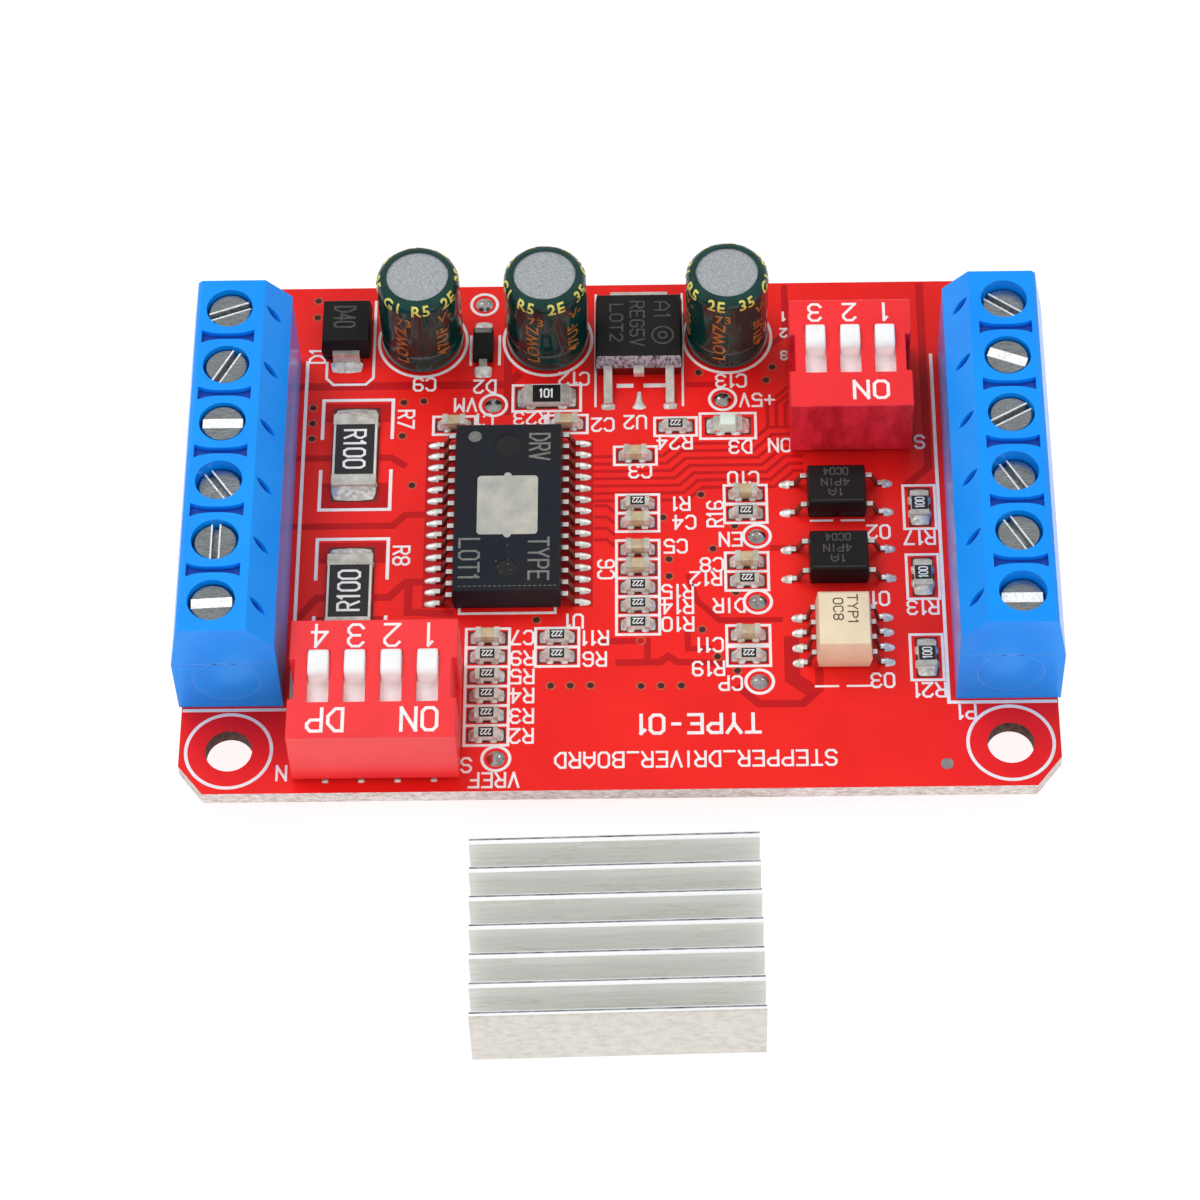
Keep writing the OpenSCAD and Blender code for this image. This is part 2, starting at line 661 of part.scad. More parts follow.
// The first diode's leads wrap down its ends, the second's are short gull wings
module diode_leads() {
    t = 0.2;
    d1 = diode1_size[1] / 2;
    color("silver") {
        translate([diode1_at[0], diode1_at[1], top]) for (side = [0, 1]) mirror([0, side, 0]) {
            translate([-1, d1, 1.1]) cube([2, 0.4, t]);
            translate([-1, d1 + 0.2, 0]) cube([2, t, 1.1 + eps]);
            translate([-1, d1 - 0.4, 0]) cube([2, 0.6 + eps, 0.04]);
        }
        translate([diode2_at[0], diode2_at[1], top]) rotate([0, 0, 90])
            lead_rows(diode2_size[1], 3.7, 1, 1, 0.5, 0.6, 0.15, 0.4);
    }
}

module optocoupler_black_bodies() {
    color("black") for (y = opto_y) translate([opto_x, y, top + 0.1])
        moulded([opto_size[0], opto_size[1], opto_size[2] - 0.1], 0.95, 0.1, 0.15);
}

module optocoupler_cream_body() {
    color("moccasin") translate([cream_at[0], cream_at[1], top + 0.15])
        moulded([cream_size[0], cream_size[1], cream_size[2] - 0.15], 1.2, 0.18, 0.35);
}

module optocoupler_leads() {
    color("silver") {
        for (y = opto_y) translate([opto_x, y, top])
            lead_rows(opto_size[0], opto_span, 2.54, 2, 1, 0.4, 0.2, 0.55);
        translate([cream_at[0], cream_at[1], top])
            lead_rows(cream_size[0], cream_span, 1.27, 4, 1.3, 0.4, 0.2, 0.5);
    }
}

// Flat base with a domed clear body on it
module indicator_led() {
    color("honeydew") translate([led_at[0], led_at[1], top]) {
        translate([0, 0, cap_skin]) chip_part([led_size[0], led_size[1], 0.35]);
        translate([0, 0, 0.35 + 2 * cap_skin]) moulded([led_size[0] - 0.7, led_size[1] - 0.1, 0.45], 0.02, 0.1);
    }
}

// Cone of solder round each pin below the board, and a low dome on each test point
module solder_joints() {
    color("lightgray") {
        at_terminal_pins() solder_cone(fillet_r, pin_hole_r);
        at_switch_pins() solder_cone(0.75, switch_pin_r + seat_gap);
        at_cap_leads() solder_cone(0.75, cap_lead_r + seat_gap);
        for (p = test_points) translate([p[0], p[1], top]) intersection() {
            translate([0, 0, -0.72]) sphere(r = 0.97);
            cylinder(h = 1, r = 0.65);
        }
    }
}

module solder_cone(r, bore) {
    translate([0, 0, -fillet_h]) difference() {
        cylinder(h = fillet_h, r1 = bore + 0.15, r2 = r, $fn = 32);
        translate([0, 0, -eps]) cylinder(h = fillet_h + 2 * eps, r = bore, $fn = 32);
    }
}

// Extruded heatsink: tapered fins on a flat base
module heatsink() {
    pitch = (sink_d - fin_root) / (fins - 1);
    d = sink_d / 2;
    t = fin_tip / 2;
    b = fin_root / 2;
    outline = concat([[-d, 0], [d, 0]],
        [for (i = [fins - 1 : -1 : 0]) let (y = -d + b + i * pitch)
            each [[y + b, sink_base], [y + t, sink_h - 0.1], [y + t - 0.1, sink_h],
                [y - t + 0.1, sink_h], [y - t, sink_h - 0.1], [y - b, sink_base]]]);
    color("silver") translate([sink_x, sink_y, table_z]) rotate([0, 0, sink_turn])
        rotate([90, 0, 90]) linear_extrude(sink_w, center = true) polygon(outline);
}

circuit_board();
terminal_housing(0);  // terminal_housing_left
terminal_housing(1);  // terminal_housing_right
terminal_contacts();
for (s = [0, 1], i = [1 : ways]) {
    terminal_screw(s, i);
    clamp_cage(s, i);
}
switch_cover(0);  // switch4_cover
switch_base(0);  // switch4_base
switch_cover(1);  // switch3_cover
switch_base(1);  // switch3_base
switch_contacts();
for (i = [1 : slides4]) switch_slider(0, i);
for (i = [1 : slides3]) switch_slider(1, i);
capacitor_cans();
capacitor_sleeves();
capacitor_bungs();
capacitor_leads();
driver_chip_body();
driver_chip_leads();
heat_slug();
regulator_body();
regulator_leads();
resistor_bodies();
ceramic_capacitor_bodies();
chip_end_caps();
diode_bodies();
diode_leads();
optocoupler_black_bodies();
optocoupler_cream_body();
optocoupler_leads();
indicator_led();
solder_joints();
heatsink();
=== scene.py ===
"""The looks of the stepper driver module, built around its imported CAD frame.

Everything sits in the frame's own place and units: metres in Blender, millimetres in the lists
below, which mm() turns into metres. Z of printed and soldered detail comes from the frame.
"""

import json
import math

import bmesh
import bpy
from mathutils import Matrix, Vector

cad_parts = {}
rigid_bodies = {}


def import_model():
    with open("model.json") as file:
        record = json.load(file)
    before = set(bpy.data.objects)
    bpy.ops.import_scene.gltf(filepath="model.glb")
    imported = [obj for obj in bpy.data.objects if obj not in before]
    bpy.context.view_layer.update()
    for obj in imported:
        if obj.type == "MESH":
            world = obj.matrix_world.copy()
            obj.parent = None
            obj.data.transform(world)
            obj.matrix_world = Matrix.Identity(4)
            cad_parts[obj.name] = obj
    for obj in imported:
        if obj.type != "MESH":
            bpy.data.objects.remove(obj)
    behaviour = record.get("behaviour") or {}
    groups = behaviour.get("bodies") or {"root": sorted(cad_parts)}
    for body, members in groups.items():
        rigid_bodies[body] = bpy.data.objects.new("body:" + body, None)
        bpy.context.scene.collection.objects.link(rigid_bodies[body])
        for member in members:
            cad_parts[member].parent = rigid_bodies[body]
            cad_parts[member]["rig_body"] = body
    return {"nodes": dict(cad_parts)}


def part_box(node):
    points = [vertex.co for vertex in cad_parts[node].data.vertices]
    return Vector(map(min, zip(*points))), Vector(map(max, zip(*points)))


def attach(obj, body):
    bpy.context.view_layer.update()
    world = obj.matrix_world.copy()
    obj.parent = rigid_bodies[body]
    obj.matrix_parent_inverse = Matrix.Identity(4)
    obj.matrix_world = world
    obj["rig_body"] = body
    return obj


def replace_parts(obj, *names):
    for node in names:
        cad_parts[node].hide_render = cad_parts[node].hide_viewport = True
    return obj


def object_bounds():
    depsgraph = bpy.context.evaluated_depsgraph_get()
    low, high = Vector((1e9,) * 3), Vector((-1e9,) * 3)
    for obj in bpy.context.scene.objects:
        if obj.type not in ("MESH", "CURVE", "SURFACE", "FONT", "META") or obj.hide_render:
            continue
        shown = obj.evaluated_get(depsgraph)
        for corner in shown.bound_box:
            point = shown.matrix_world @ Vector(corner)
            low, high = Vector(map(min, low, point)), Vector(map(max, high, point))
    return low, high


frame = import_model()
CAD_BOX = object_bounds()
NODES = frame["nodes"]
MM = 0.001


def mm(*values):
    """Millimetres to a vector in metres."""
    return Vector(values) * MM


BOARD_LO, BOARD_HI = (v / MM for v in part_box("circuit_board"))
TOP = BOARD_HI.z
TABLE = CAD_BOX[0][2] / MM

# ---------------------------------------------------------------- camera, floor and lights

CAMERA_AIM = (1.1, -1.1, TOP)
CAMERA_ELEVATION = math.radians(55.7)
CAMERA_AZIMUTH = math.radians(1.2)
CAMERA_ROLL = math.radians(-1.66)
CAMERA_DISTANCE = 304.6
CAMERA_LENS = 125.8
CAMERA_SHIFT = (-0.0286, -0.0505)
LIGHT_AIM = (0, -5, 0)


def make_camera():
    data = bpy.data.cameras.new("camera")
    data.lens = CAMERA_LENS
    data.sensor_width = 36
    data.shift_x, data.shift_y = CAMERA_SHIFT
    data.clip_start = 0.01
    data.clip_end = 10
    camera = bpy.data.objects.new("camera", data)
    bpy.context.scene.collection.objects.link(camera)
    out = Vector((math.sin(CAMERA_AZIMUTH) * math.cos(CAMERA_ELEVATION),
                  -math.cos(CAMERA_AZIMUTH) * math.cos(CAMERA_ELEVATION),
                  math.sin(CAMERA_ELEVATION)))
    right = (-out).cross(Vector((0, 0, 1))).normalized()
    up = right.cross(-out)
    rolled_right = math.cos(CAMERA_ROLL) * right + math.sin(CAMERA_ROLL) * up
    rolled_up = -math.sin(CAMERA_ROLL) * right + math.cos(CAMERA_ROLL) * up
    turn = Matrix((rolled_right, rolled_up, out)).transposed().to_4x4()
    camera.matrix_world = Matrix.Translation(mm(*CAMERA_AIM) + out * CAMERA_DISTANCE * MM) @ turn
    bpy.context.scene.camera = camera


def area_light(name, place, size, power, glossy=True):
    data = bpy.data.lights.new(name, "AREA")
    data.shape = "RECTANGLE"
    data.size, data.size_y = size[0] * MM, size[1] * MM
    data.energy = power
    light = bpy.data.objects.new(name, data)
    bpy.context.scene.collection.objects.link(light)
    light.location = mm(*place)
    light.visible_glossy = glossy
    light.rotation_euler = (mm(*place) - mm(*LIGHT_AIM)).to_track_quat("Z", "Y").to_euler()


def make_stage():
    scene = bpy.context.scene
    scene.view_settings.view_transform = "Standard"
    world = bpy.data.worlds.new("studio")
    scene.world = world
    world.use_nodes = True
    background = world.node_tree.nodes["Background"]
    background.inputs["Color"].default_value = (1, 1, 1, 1)
    background.inputs["Strength"].default_value = 0.5
    # Broad soft light that metals don't mirror, and small panels that they do
    area_light("key", (-140, 120, 330), (260, 220), 0.62, glossy=False)
    area_light("fill", (190, -160, 260), (200, 200), 0.22, glossy=False)
    area_light("front", (-40, -330, 150), (200, 90), 0.2, glossy=False)
    area_light("glint_left", (-150, 190, 240), (60, 40), 0.035)
    area_light("glint_right", (130, 210, 230), (50, 36), 0.03)
    area_light("glint_front", (-60, -300, 200), (80, 30), 0.03)
    bm = bmesh.new()
    bmesh.ops.create_grid(bm, x_segments=1, y_segments=1, size=2.0)
    for v in bm.verts:
        v.co.z = TABLE * MM - 0.00002
    floor = piece("floor", bm, [M["floor"]])


# ---------------------------------------------------------------- materials

class Finish:
    """A material and its shader. Every pattern is laid in object coordinates."""

    def __init__(self, name):
        self.material = bpy.data.materials.new(name)
        self.material.use_nodes = True
        self.tree = self.material.node_tree
        self.shader = self.tree.nodes["Principled BSDF"]
        self.coords = self.add("TexCoord").outputs["Object"]

    def feed(self, place, value):
        """Links a socket to an input, or sets the input to a plain value."""
        if isinstance(value, bpy.types.NodeSocket):
            self.tree.links.new(value, place)
        else:
            place.default_value = (*value, 1) if place.type == "RGBA" else value

    def surface(self, **inputs):
        """Feeds the shader's inputs. An underscore in a name stands for a space."""
        for name, value in inputs.items():
            self.feed(self.shader.inputs[name.replace("_", " ")], value)

    def add(self, kind, **inputs):
        """A new node with its inputs fed, named in the same way."""
        node = self.tree.nodes.new("ShaderNode" + kind)
        for name, value in inputs.items():
            self.feed(node.inputs[name.replace("_", " ")], value)
        return node

    def normal(self):
        return self.add("NewGeometry").outputs["Normal"]

    def axes(self, vector):
        """A vector's X, Y and Z."""
        return self.add("SeparateXYZ", Vector=vector).outputs

    def along(self, vector, direction):
        """How far a vector goes along a level direction."""
        node = self.add("VectorMath")
        node.operation = "DOT_PRODUCT"
        self.feed(node.inputs[0], vector)
        self.feed(node.inputs[1], (*direction, 0))
        return node.outputs["Value"]

    def noise(self, grain_mm, stretch=(1, 1, 1), detail=4, rough=0.55):
        """Noise whose features are about grain_mm across, stretched along the axes."""
        scale = [1 / (grain_mm * MM * s) for s in stretch]
        mapping = self.add("Mapping", Vector=self.coords, Scale=scale)
        return self.add("TexNoise", Vector=mapping.outputs["Vector"], Scale=1, Detail=detail,
                        Roughness=rough).outputs["Fac"]

    def ramp(self, fac, *stops):
        """Colour ramp with (place, colour) stops."""
        node = self.add("ValToRGB", Fac=fac)
        elements = node.color_ramp.elements
        while len(elements) < len(stops):
            elements.new(0.5)
        for element, (place, colour) in zip(elements, stops):
            element.position = place
            element.color = (*colour, 1)
        return node.outputs["Color"]

    def spread(self, fac, low, high, start=0.3, end=0.7):
        """Maps the middle of a noise to values from low to high."""
        return self.add("MapRange", Value=fac, From_Min=start, From_Max=end, To_Min=low,
                        To_Max=high).outputs["Result"]

    def math(self, operation, *values):
        """One sum. Each value is a socket or a number."""
        node = self.add("Math")
        node.operation = operation
        for place, value in zip(node.inputs, values):
            self.feed(place, value)
        return node.outputs[0]

    def mix(self, fac, a, b):
        """Mixes two colours. Each is a socket or a plain colour."""
        node = self.add("Mix")
        node.data_type = "RGBA"
        for name, value in (("Factor", fac), ("A", a), ("B", b)):
            self.feed(next(i for i in node.inputs if i.name == name and i.enabled), value)
        return next(o for o in node.outputs if o.enabled)

    def bump(self, height, depth_mm):
        node = self.add("Bump", Strength=1, Distance=depth_mm * MM, Height=height)
        self.surface(Normal=node.outputs["Normal"])


def moulded(name, colour, dark, grain=0.4, rough=(0.3, 0.42), depth=0.004, coat=0.0, metal=0.0,
            stretch=(1, 1, 1), cloud=4.0, glow=0.0, specular=0.5, steep=None, front=None):
    """Moulded, plated or printed surface: clouded colour, uneven gloss and a fine grain. Steep
    faces can have a painted shade of their own, and faces that look to -Y painted light and shade
    in patches, as (light, dark, grain, lowest, colour below that), the colour below painted too."""
    f = Finish(name)
    f.surface(Metallic=metal, Coat_Weight=coat, Coat_Roughness=0.12, Specular_IOR_Level=specular)
    if glow:
        # Painted glow: emission that stands for light the plastic lets through, and keeps the floor evenly
        # bright
        f.surface(Emission_Color=colour, Emission_Strength=glow)
    base = f.ramp(f.noise(cloud, stretch), (0.3, dark), (0.65, colour))
    grains = f.noise(grain, stretch, detail=6)
    # Painted shade: steep faces take a colour of their own
    if steep:
        level = f.math("ABSOLUTE", f.axes(f.normal())["Z"])
        base = f.mix(f.math("LESS_THAN", level, 0.7), base, steep)
    # Painted light and shade: patches on faces that look to -Y, with a painted colour on them below a height
    if front:
        light, shade, size, lowest, under = front
        patches = f.ramp(f.noise(size, (1, 1, 2.5), detail=6, rough=0.6), (0.38, shade), (0.58, light))
        below = f.math("LESS_THAN", f.axes(f.coords)["Z"], lowest * MM)
        faces = f.math("LESS_THAN", f.axes(f.normal())["Y"], -0.5)
        base = f.mix(faces, base, f.mix(below, patches, under))
    f.surface(Base_Color=base, Roughness=f.spread(grains, *rough))
    f.bump(grains, depth)
    return f.material


def board_material():
    """Red solder mask on the faces, pale glass weave on the cut edges, brown walls in the holes."""
    f = Finish("board_mask")
    mask = f.ramp(f.noise(9), (0.3, (0.8, 0.012, 0.01)), (0.7, (0.93, 0.018, 0.014)))
    weave = f.ramp(f.noise(0.28, (1.6, 1.6, 0.7), detail=7, rough=0.7), (0.3, (0.4, 0.24, 0.22)),
                   (0.48, (0.68, 0.58, 0.55)), (0.66, (0.88, 0.83, 0.81)))
    wall = f.ramp(f.noise(0.4), (0.35, (0.03, 0.012, 0.01)), (0.65, (0.12, 0.055, 0.045)))
    flat = f.math("GREATER_THAN", f.math("ABSOLUTE", f.axes(f.normal())["Z"]), 0.5)
    # Cut edges lie past a line near each side, or past a slanted one at the corners
    x, y = (f.math("ABSOLUTE", f.axes(f.coords)[axis]) for axis in "XY")
    rim, corner_rim = 0.7, 2.9
    past_x = f.math("GREATER_THAN", x, (BOARD_HI.x - rim) * MM)
    past_y = f.math("GREATER_THAN", y, (BOARD_HI.y - rim) * MM)
    corner = f.math("GREATER_THAN", f.math("ADD", x, y), (BOARD_HI.x + BOARD_HI.y - corner_rim) * MM)
    outer = f.math("MAXIMUM", f.math("MAXIMUM", past_x, past_y), corner)
    f.surface(Base_Color=f.mix(flat, f.mix(outer, wall, weave), mask), Specular_IOR_Level=0.25,
              Roughness=f.spread(flat, 0.7, 0.3, 0, 1))
    f.bump(f.noise(0.6), 0.004)
    return f.material


def brushed(name, colour, dark, stretch, grain=0.12, rough=(0.22, 0.4), depth=0.004, stain=None, metal=1.0,
            tip=None, face=None, glow=0.0):
    """Metal with fine lines along one axis, and a stain where one is given. Level faces can have a
    painted highlight of their own, and a face that looks against a direction and lies before a plane
    across it painted shade in patches, as (direction, reach, light, dark)."""
    f = Finish(name)
    f.surface(Metallic=metal)
    if glow:
        # Painted glow: emission that stands for light caught between close walls
        f.surface(Emission_Color=colour, Emission_Strength=glow)
    lines = f.noise(grain, stretch, detail=6, rough=0.65)
    base = f.ramp(lines, (0.3, dark), (0.6, colour))
    if stain:
        black, half = (0, 0, 0), (0.5, 0.5, 0.5)
        edge = f.ramp(f.noise(2.0, (5, 1, 1), detail=8, rough=0.65), (0.0, black), (0.575, black),
                      (0.6, half), (0.625, black), (1.0, black))
        base = f.mix(edge, base, stain)
    base = f.mix(f.spread(f.noise(3.5, detail=5), 0, 0.35), base, dark)
    # Painted highlight on level faces
    if tip:
        base = f.mix(f.math("GREATER_THAN", f.axes(f.normal())["Z"], 0.5), base, tip)
    # Painted shade in patches on the face that looks against the direction
    if face:
        direction, reach, light, shade = face
        cast = f.ramp(f.noise(0.45, (1.6, 1, 1), detail=7, rough=0.7), (0.36, shade), (0.56, light))
        before = f.math("LESS_THAN", f.along(f.coords, direction), reach * MM)
        facing = f.math("LESS_THAN", f.along(f.normal(), direction), -0.5)
        base = f.mix(f.math("MULTIPLY", before, facing), base, cast)
    f.surface(Base_Color=base, Roughness=f.spread(lines, *rough))
    f.bump(lines, depth)
    return f.material


def clear_film():
    """Dark green shrunk sleeve, glossy, with long ripples."""
    f = Finish("sleeve_film")
    clouds = f.noise(1.6, (1, 1, 2))
    f.surface(Coat_Weight=0.5, Coat_Roughness=0.04, Specular_IOR_Level=0.25,
              Base_Color=f.ramp(clouds, (0.3, (0.002, 0.026, 0.022)), (0.7, (0.003, 0.055, 0.045))),
              Roughness=f.spread(clouds, 0.1, 0.2))
    f.bump(clouds, 0.02)
    return f.material


def speckled_can():
    """Matt speckled aluminium, as on the top of a drawn can."""
    f = Finish("can_top")
    dots = f.noise(0.16, detail=8, rough=0.8)
    f.surface(Metallic=0.5, Roughness=f.spread(dots, 0.55, 0.38),
              Base_Color=f.ramp(dots, (0.33, (0.3, 0.32, 0.34)), (0.52, (0.47, 0.5, 0.53)),
                                (0.7, (0.74, 0.78, 0.82))))
    f.bump(dots, 0.012)
    return f.material


def heatsink_front():
    """The heatsink's front left corner in millimetres, and the direction of its fins."""
    points = [v.co.xy / MM for v in NODES["heatsink"].data.vertices]
    left = min(points, key=lambda p: p.y)
    right = max(points, key=lambda p: p.x)
    return left, (right - left).normalized()


M = {}


def make_materials():
    M["board"] = board_material()
    M["floor"] = moulded("studio_floor", (0.22, 0.22, 0.22), (0.21, 0.21, 0.21), grain=2, cloud=90,
                         rough=(0.7, 0.8), depth=0.002, glow=4)
    M["groove"] = moulded("mask_over_laminate", (0.56, 0.008, 0.01), (0.47, 0.007, 0.009), grain=0.5,
                          rough=(0.32, 0.42), depth=0.003, specular=0.2)
    M["silk"] = moulded("silkscreen_ink", (0.93, 0.9, 0.9), (0.85, 0.78, 0.78), grain=0.12, rough=(0.5, 0.65),
                        depth=0.004, cloud=0.5)
    M["switch_ink"] = moulded("switch_ink", (0.96, 0.93, 0.93), (0.9, 0.82, 0.82), grain=0.15,
                              rough=(0.45, 0.6), cloud=0.6, depth=0.002)
    M["blue"] = moulded("terminal_plastic", (0.003, 0.315, 1.0), (0.003, 0.275, 0.96), grain=0.35,
                        rough=(0.16, 0.26), depth=0.002, cloud=6, specular=0.28)
    M["blue_light"] = moulded("terminal_mark", (0.09, 0.4, 1.0), (0.04, 0.32, 0.98), grain=0.2,
                              rough=(0.3, 0.4), cloud=1)
    # Painted shade lines the screw slots; painted highlights, with a painted glow, sit on their edges and
    # fill the glinting slots
    M["slot_shade"] = brushed("slot_shade", (0.5, 0.53, 0.54), (0.12, 0.13, 0.14), (1, 1, 1), grain=0.3,
                              rough=(0.25, 0.4), metal=0.3)
    M["slot_edge_highlight"] = brushed("slot_edge_highlight", (0.95, 0.97, 0.97), (0.4, 0.43, 0.44), (1, 1, 1), grain=0.4,
                             rough=(0.2, 0.35), metal=0.4, glow=0.25)
    M["slot_glint"] = brushed("slot_glint", (0.97, 0.98, 0.98), (0.35, 0.37, 0.38), (1, 1, 1), grain=0.25,
                              rough=(0.2, 0.35), metal=0.4, glow=0.45)
    # Painted shade for the dark sheets in the terminal blocks' slits and notches
    M["blue_shade"] = moulded("terminal_shade", (0.003, 0.065, 0.4), (0.002, 0.05, 0.32), grain=0.2,
                              rough=(0.5, 0.6), cloud=0.6)
    M["screw"] = brushed("turned_screw", (0.52, 0.56, 0.58), (0.2, 0.22, 0.23), (5, 0.5, 1), grain=0.12,
                         rough=(0.2, 0.36))
    M["cage"] = brushed("cage_plate", (0.6, 0.6, 0.58), (0.4, 0.4, 0.38), (1, 1, 4))
    M["brass"] = brushed("tinned_bar", (0.66, 0.63, 0.56), (0.5, 0.47, 0.4), (4, 1, 1))
    M["red4"] = moulded("switch4_plastic", (0.93, 0.03, 0.036), (0.86, 0.024, 0.03), grain=0.25,
                        rough=(0.34, 0.46), depth=0.005, specular=0.6)
    # Painted shade: the front face of the three way switch is darker than its top
    M["red3"] = moulded("switch3_plastic", (0.93, 0.028, 0.034), (0.86, 0.022, 0.028), grain=0.25,
                        rough=(0.24, 0.36), depth=0.004, specular=0.4,
                        front=((0.88, 0.032, 0.055), (0.6, 0.016, 0.03), 1.2, TOP, (0.6, 0.016, 0.03)))
    M["dark_red"] = moulded("switch_base_plastic", (0.2, 0.012, 0.012), (0.14, 0.01, 0.01))
    # Painted glow lifts the sliders where they sit in shade in their windows
    M["white"] = moulded("slider_plastic", (0.83, 0.83, 0.83), (0.74, 0.74, 0.74), grain=0.3,
                         rough=(0.2, 0.32), depth=0.003, cloud=1.2, coat=0.3, glow=0.17)
    M["tin"] = moulded("tinned_lead", (0.8, 0.77, 0.7), (0.5, 0.47, 0.4), grain=0.6, metal=0.5,
                       rough=(0.2, 0.3), depth=0.0006, cloud=0.9)
    # Painted reflection and shade: the steep parts of the leads take a dark brown from the red board
    M["leads"] = moulded("gull_leads", (0.97, 0.95, 0.9), (0.76, 0.74, 0.68), grain=0.6, metal=0.6,
                         rough=(0.18, 0.28), depth=0.0006, cloud=1.2, steep=(0.2, 0.07, 0.05))
    M["solder"] = moulded("solder", (0.98, 0.97, 0.93), (0.48, 0.44, 0.38), grain=0.3, metal=0.45,
                          rough=(0.14, 0.26), depth=0.01, cloud=0.35)
    M["joint"] = moulded("solder_joint", (0.7, 0.68, 0.66), (0.36, 0.34, 0.33), grain=0.3, metal=1,
                         rough=(0.12, 0.24), depth=0.004, cloud=0.6)
    M["can"] = speckled_can()
    M["sleeve"] = clear_film()
    M["gold_ink"] = moulded("gold_ink", (0.86, 0.78, 0.16), (0.62, 0.52, 0.08), grain=0.15, rough=(0.35, 0.5),
                            cloud=0.5, depth=0.002, coat=0.5)
    M["dull_gold"] = moulded("dull_gold_ink", (0.55, 0.2, 0.03), (0.2, 0.07, 0.015), grain=0.12,
                             rough=(0.35, 0.5), cloud=0.4, depth=0.002, coat=0.5)
    M["rubber"] = moulded("seal_rubber", (0.03, 0.03, 0.03), (0.02, 0.02, 0.02), rough=(0.6, 0.8))
    # Painted reflection on the regulator's front face: pale mottled patches above, dark red from the board
    # below
    u2 = box_of("regulator_body")
    M["regulator"] = moulded("regulator_epoxy", (0.018, 0.016, 0.016), (0.012, 0.011, 0.011), grain=0.09,
                             rough=(0.5, 0.65), depth=0.006, cloud=3, specular=0.16,
                             front=((0.5, 0.46, 0.52), (0.07, 0.035, 0.05), 0.22,
                             u2[0].z * 0.55 + u2[1].z * 0.45, (0.16, 0.008, 0.008)))
    M["epoxy"] = moulded("chip_epoxy", (0.016, 0.014, 0.014), (0.011, 0.01, 0.01), grain=0.09,
                         rough=(0.5, 0.65), depth=0.006, cloud=3, specular=0.16)
    # The bluish clouds are a painted reflection across the chip's top
    M["chip"] = moulded("driver_epoxy", (0.02, 0.017, 0.018), (0.009, 0.015, 0.024), grain=0.09,
                        rough=(0.46, 0.6), depth=0.005, cloud=9, specular=0.2)
    M["chip_dark"] = moulded("ejector_mark", (0.012, 0.01, 0.01), (0.008, 0.007, 0.007), grain=0.1,
                             rough=(0.4, 0.5), depth=0.005)
    M["opto"] = moulded("opto_epoxy", (0.013, 0.01, 0.01), (0.009, 0.007, 0.007), grain=0.1,
                        rough=(0.34, 0.48), depth=0.006, specular=0.2)
    M["cream"] = moulded("cream_epoxy", (0.86, 0.71, 0.5), (0.78, 0.62, 0.42), grain=0.12, rough=(0.45, 0.6),
                         depth=0.006, cloud=2)
    M["slug"] = moulded("slug_plate", (0.7, 0.67, 0.58), (0.47, 0.5, 0.47), grain=0.3, metal=0.55,
                        rough=(0.42, 0.58), depth=0.006, cloud=1.6)
    M["alumina"] = moulded("resistor_alumina", (0.8, 0.78, 0.73), (0.66, 0.64, 0.6), grain=0.15,
                           rough=(0.5, 0.65), cloud=0.8)
    M["black_coat"] = moulded("resistor_coat", (0.012, 0.012, 0.013), (0.008, 0.008, 0.009), grain=0.2,
                              rough=(0.25, 0.4), depth=0.004, cloud=0.8, coat=0.3)
    M["ceramic"] = moulded("capacitor_ceramic", (0.62, 0.48, 0.28), (0.42, 0.33, 0.2), grain=0.12,
                           rough=(0.22, 0.36), cloud=0.6, coat=0.4)
    M["code"] = moulded("code_ink", (0.93, 0.92, 0.9), (0.78, 0.77, 0.75), grain=0.1, rough=(0.5, 0.6),
                        cloud=0.4, depth=0.002)
    M["laser"] = moulded("laser_mark", (0.22, 0.22, 0.2), (0.13, 0.13, 0.12), grain=0.1, rough=(0.5, 0.65),
                         cloud=0.5, depth=0.004)
    M["faint"] = moulded("faint_mark", (0.075, 0.07, 0.066), (0.05, 0.047, 0.045), grain=0.1,
                         rough=(0.45, 0.6), cloud=0.5, depth=0.003)
    M["brown_ink"] = moulded("brown_mark", (0.12, 0.09, 0.06), (0.08, 0.06, 0.04), grain=0.1,
                             rough=(0.5, 0.6), cloud=0.5, depth=0.002)
    M["led"] = moulded("led_epoxy", (0.82, 0.93, 0.83), (0.55, 0.8, 0.62), grain=0.2, rough=(0.12, 0.25),
                       cloud=0.7, coat=0.6)
    M["hole"] = moulded("via_hole", (0.06, 0.016, 0.012), (0.025, 0.008, 0.007), rough=(0.6, 0.7), cloud=0.3)
    M["via_rim"] = moulded("via_rim", (0.66, 0.1, 0.05), (0.42, 0.03, 0.02), rough=(0.25, 0.4), cloud=0.3)
    M["grey_dot"] = moulded("tooling_dot", (0.3, 0.26, 0.25), (0.2, 0.17, 0.16), rough=(0.5, 0.6), cloud=0.3)
    # Dark ground round the chip parts: bare laminate, with painted shade under and beside each part
    M["pad_shade"] = moulded("bare_laminate_and_shade", (0.2, 0.02, 0.014), (0.08, 0.012, 0.01), rough=(0.5, 0.6),
                             cloud=0.4)
    # Painted highlight on the level fin tips, painted shade on the front face, painted glow in the gaps
    corner, along = heatsink_front()
    across = Vector((-along.y, along.x))
    M["heatsink"] = brushed("extruded_aluminium", (0.58, 0.58, 0.55), (0.45, 0.46, 0.44), (14, 1, 1),
                            grain=0.3, rough=(0.3, 0.45), depth=0.006, stain=(0.3, 0.25, 0.15), metal=0.2,
                            tip=(0.8, 0.82, 0.83), glow=0.34,
                            face=(across, corner.dot(across) + 0.45, (0.52, 0.48, 0.43), (0.38, 0.35, 0.3)))
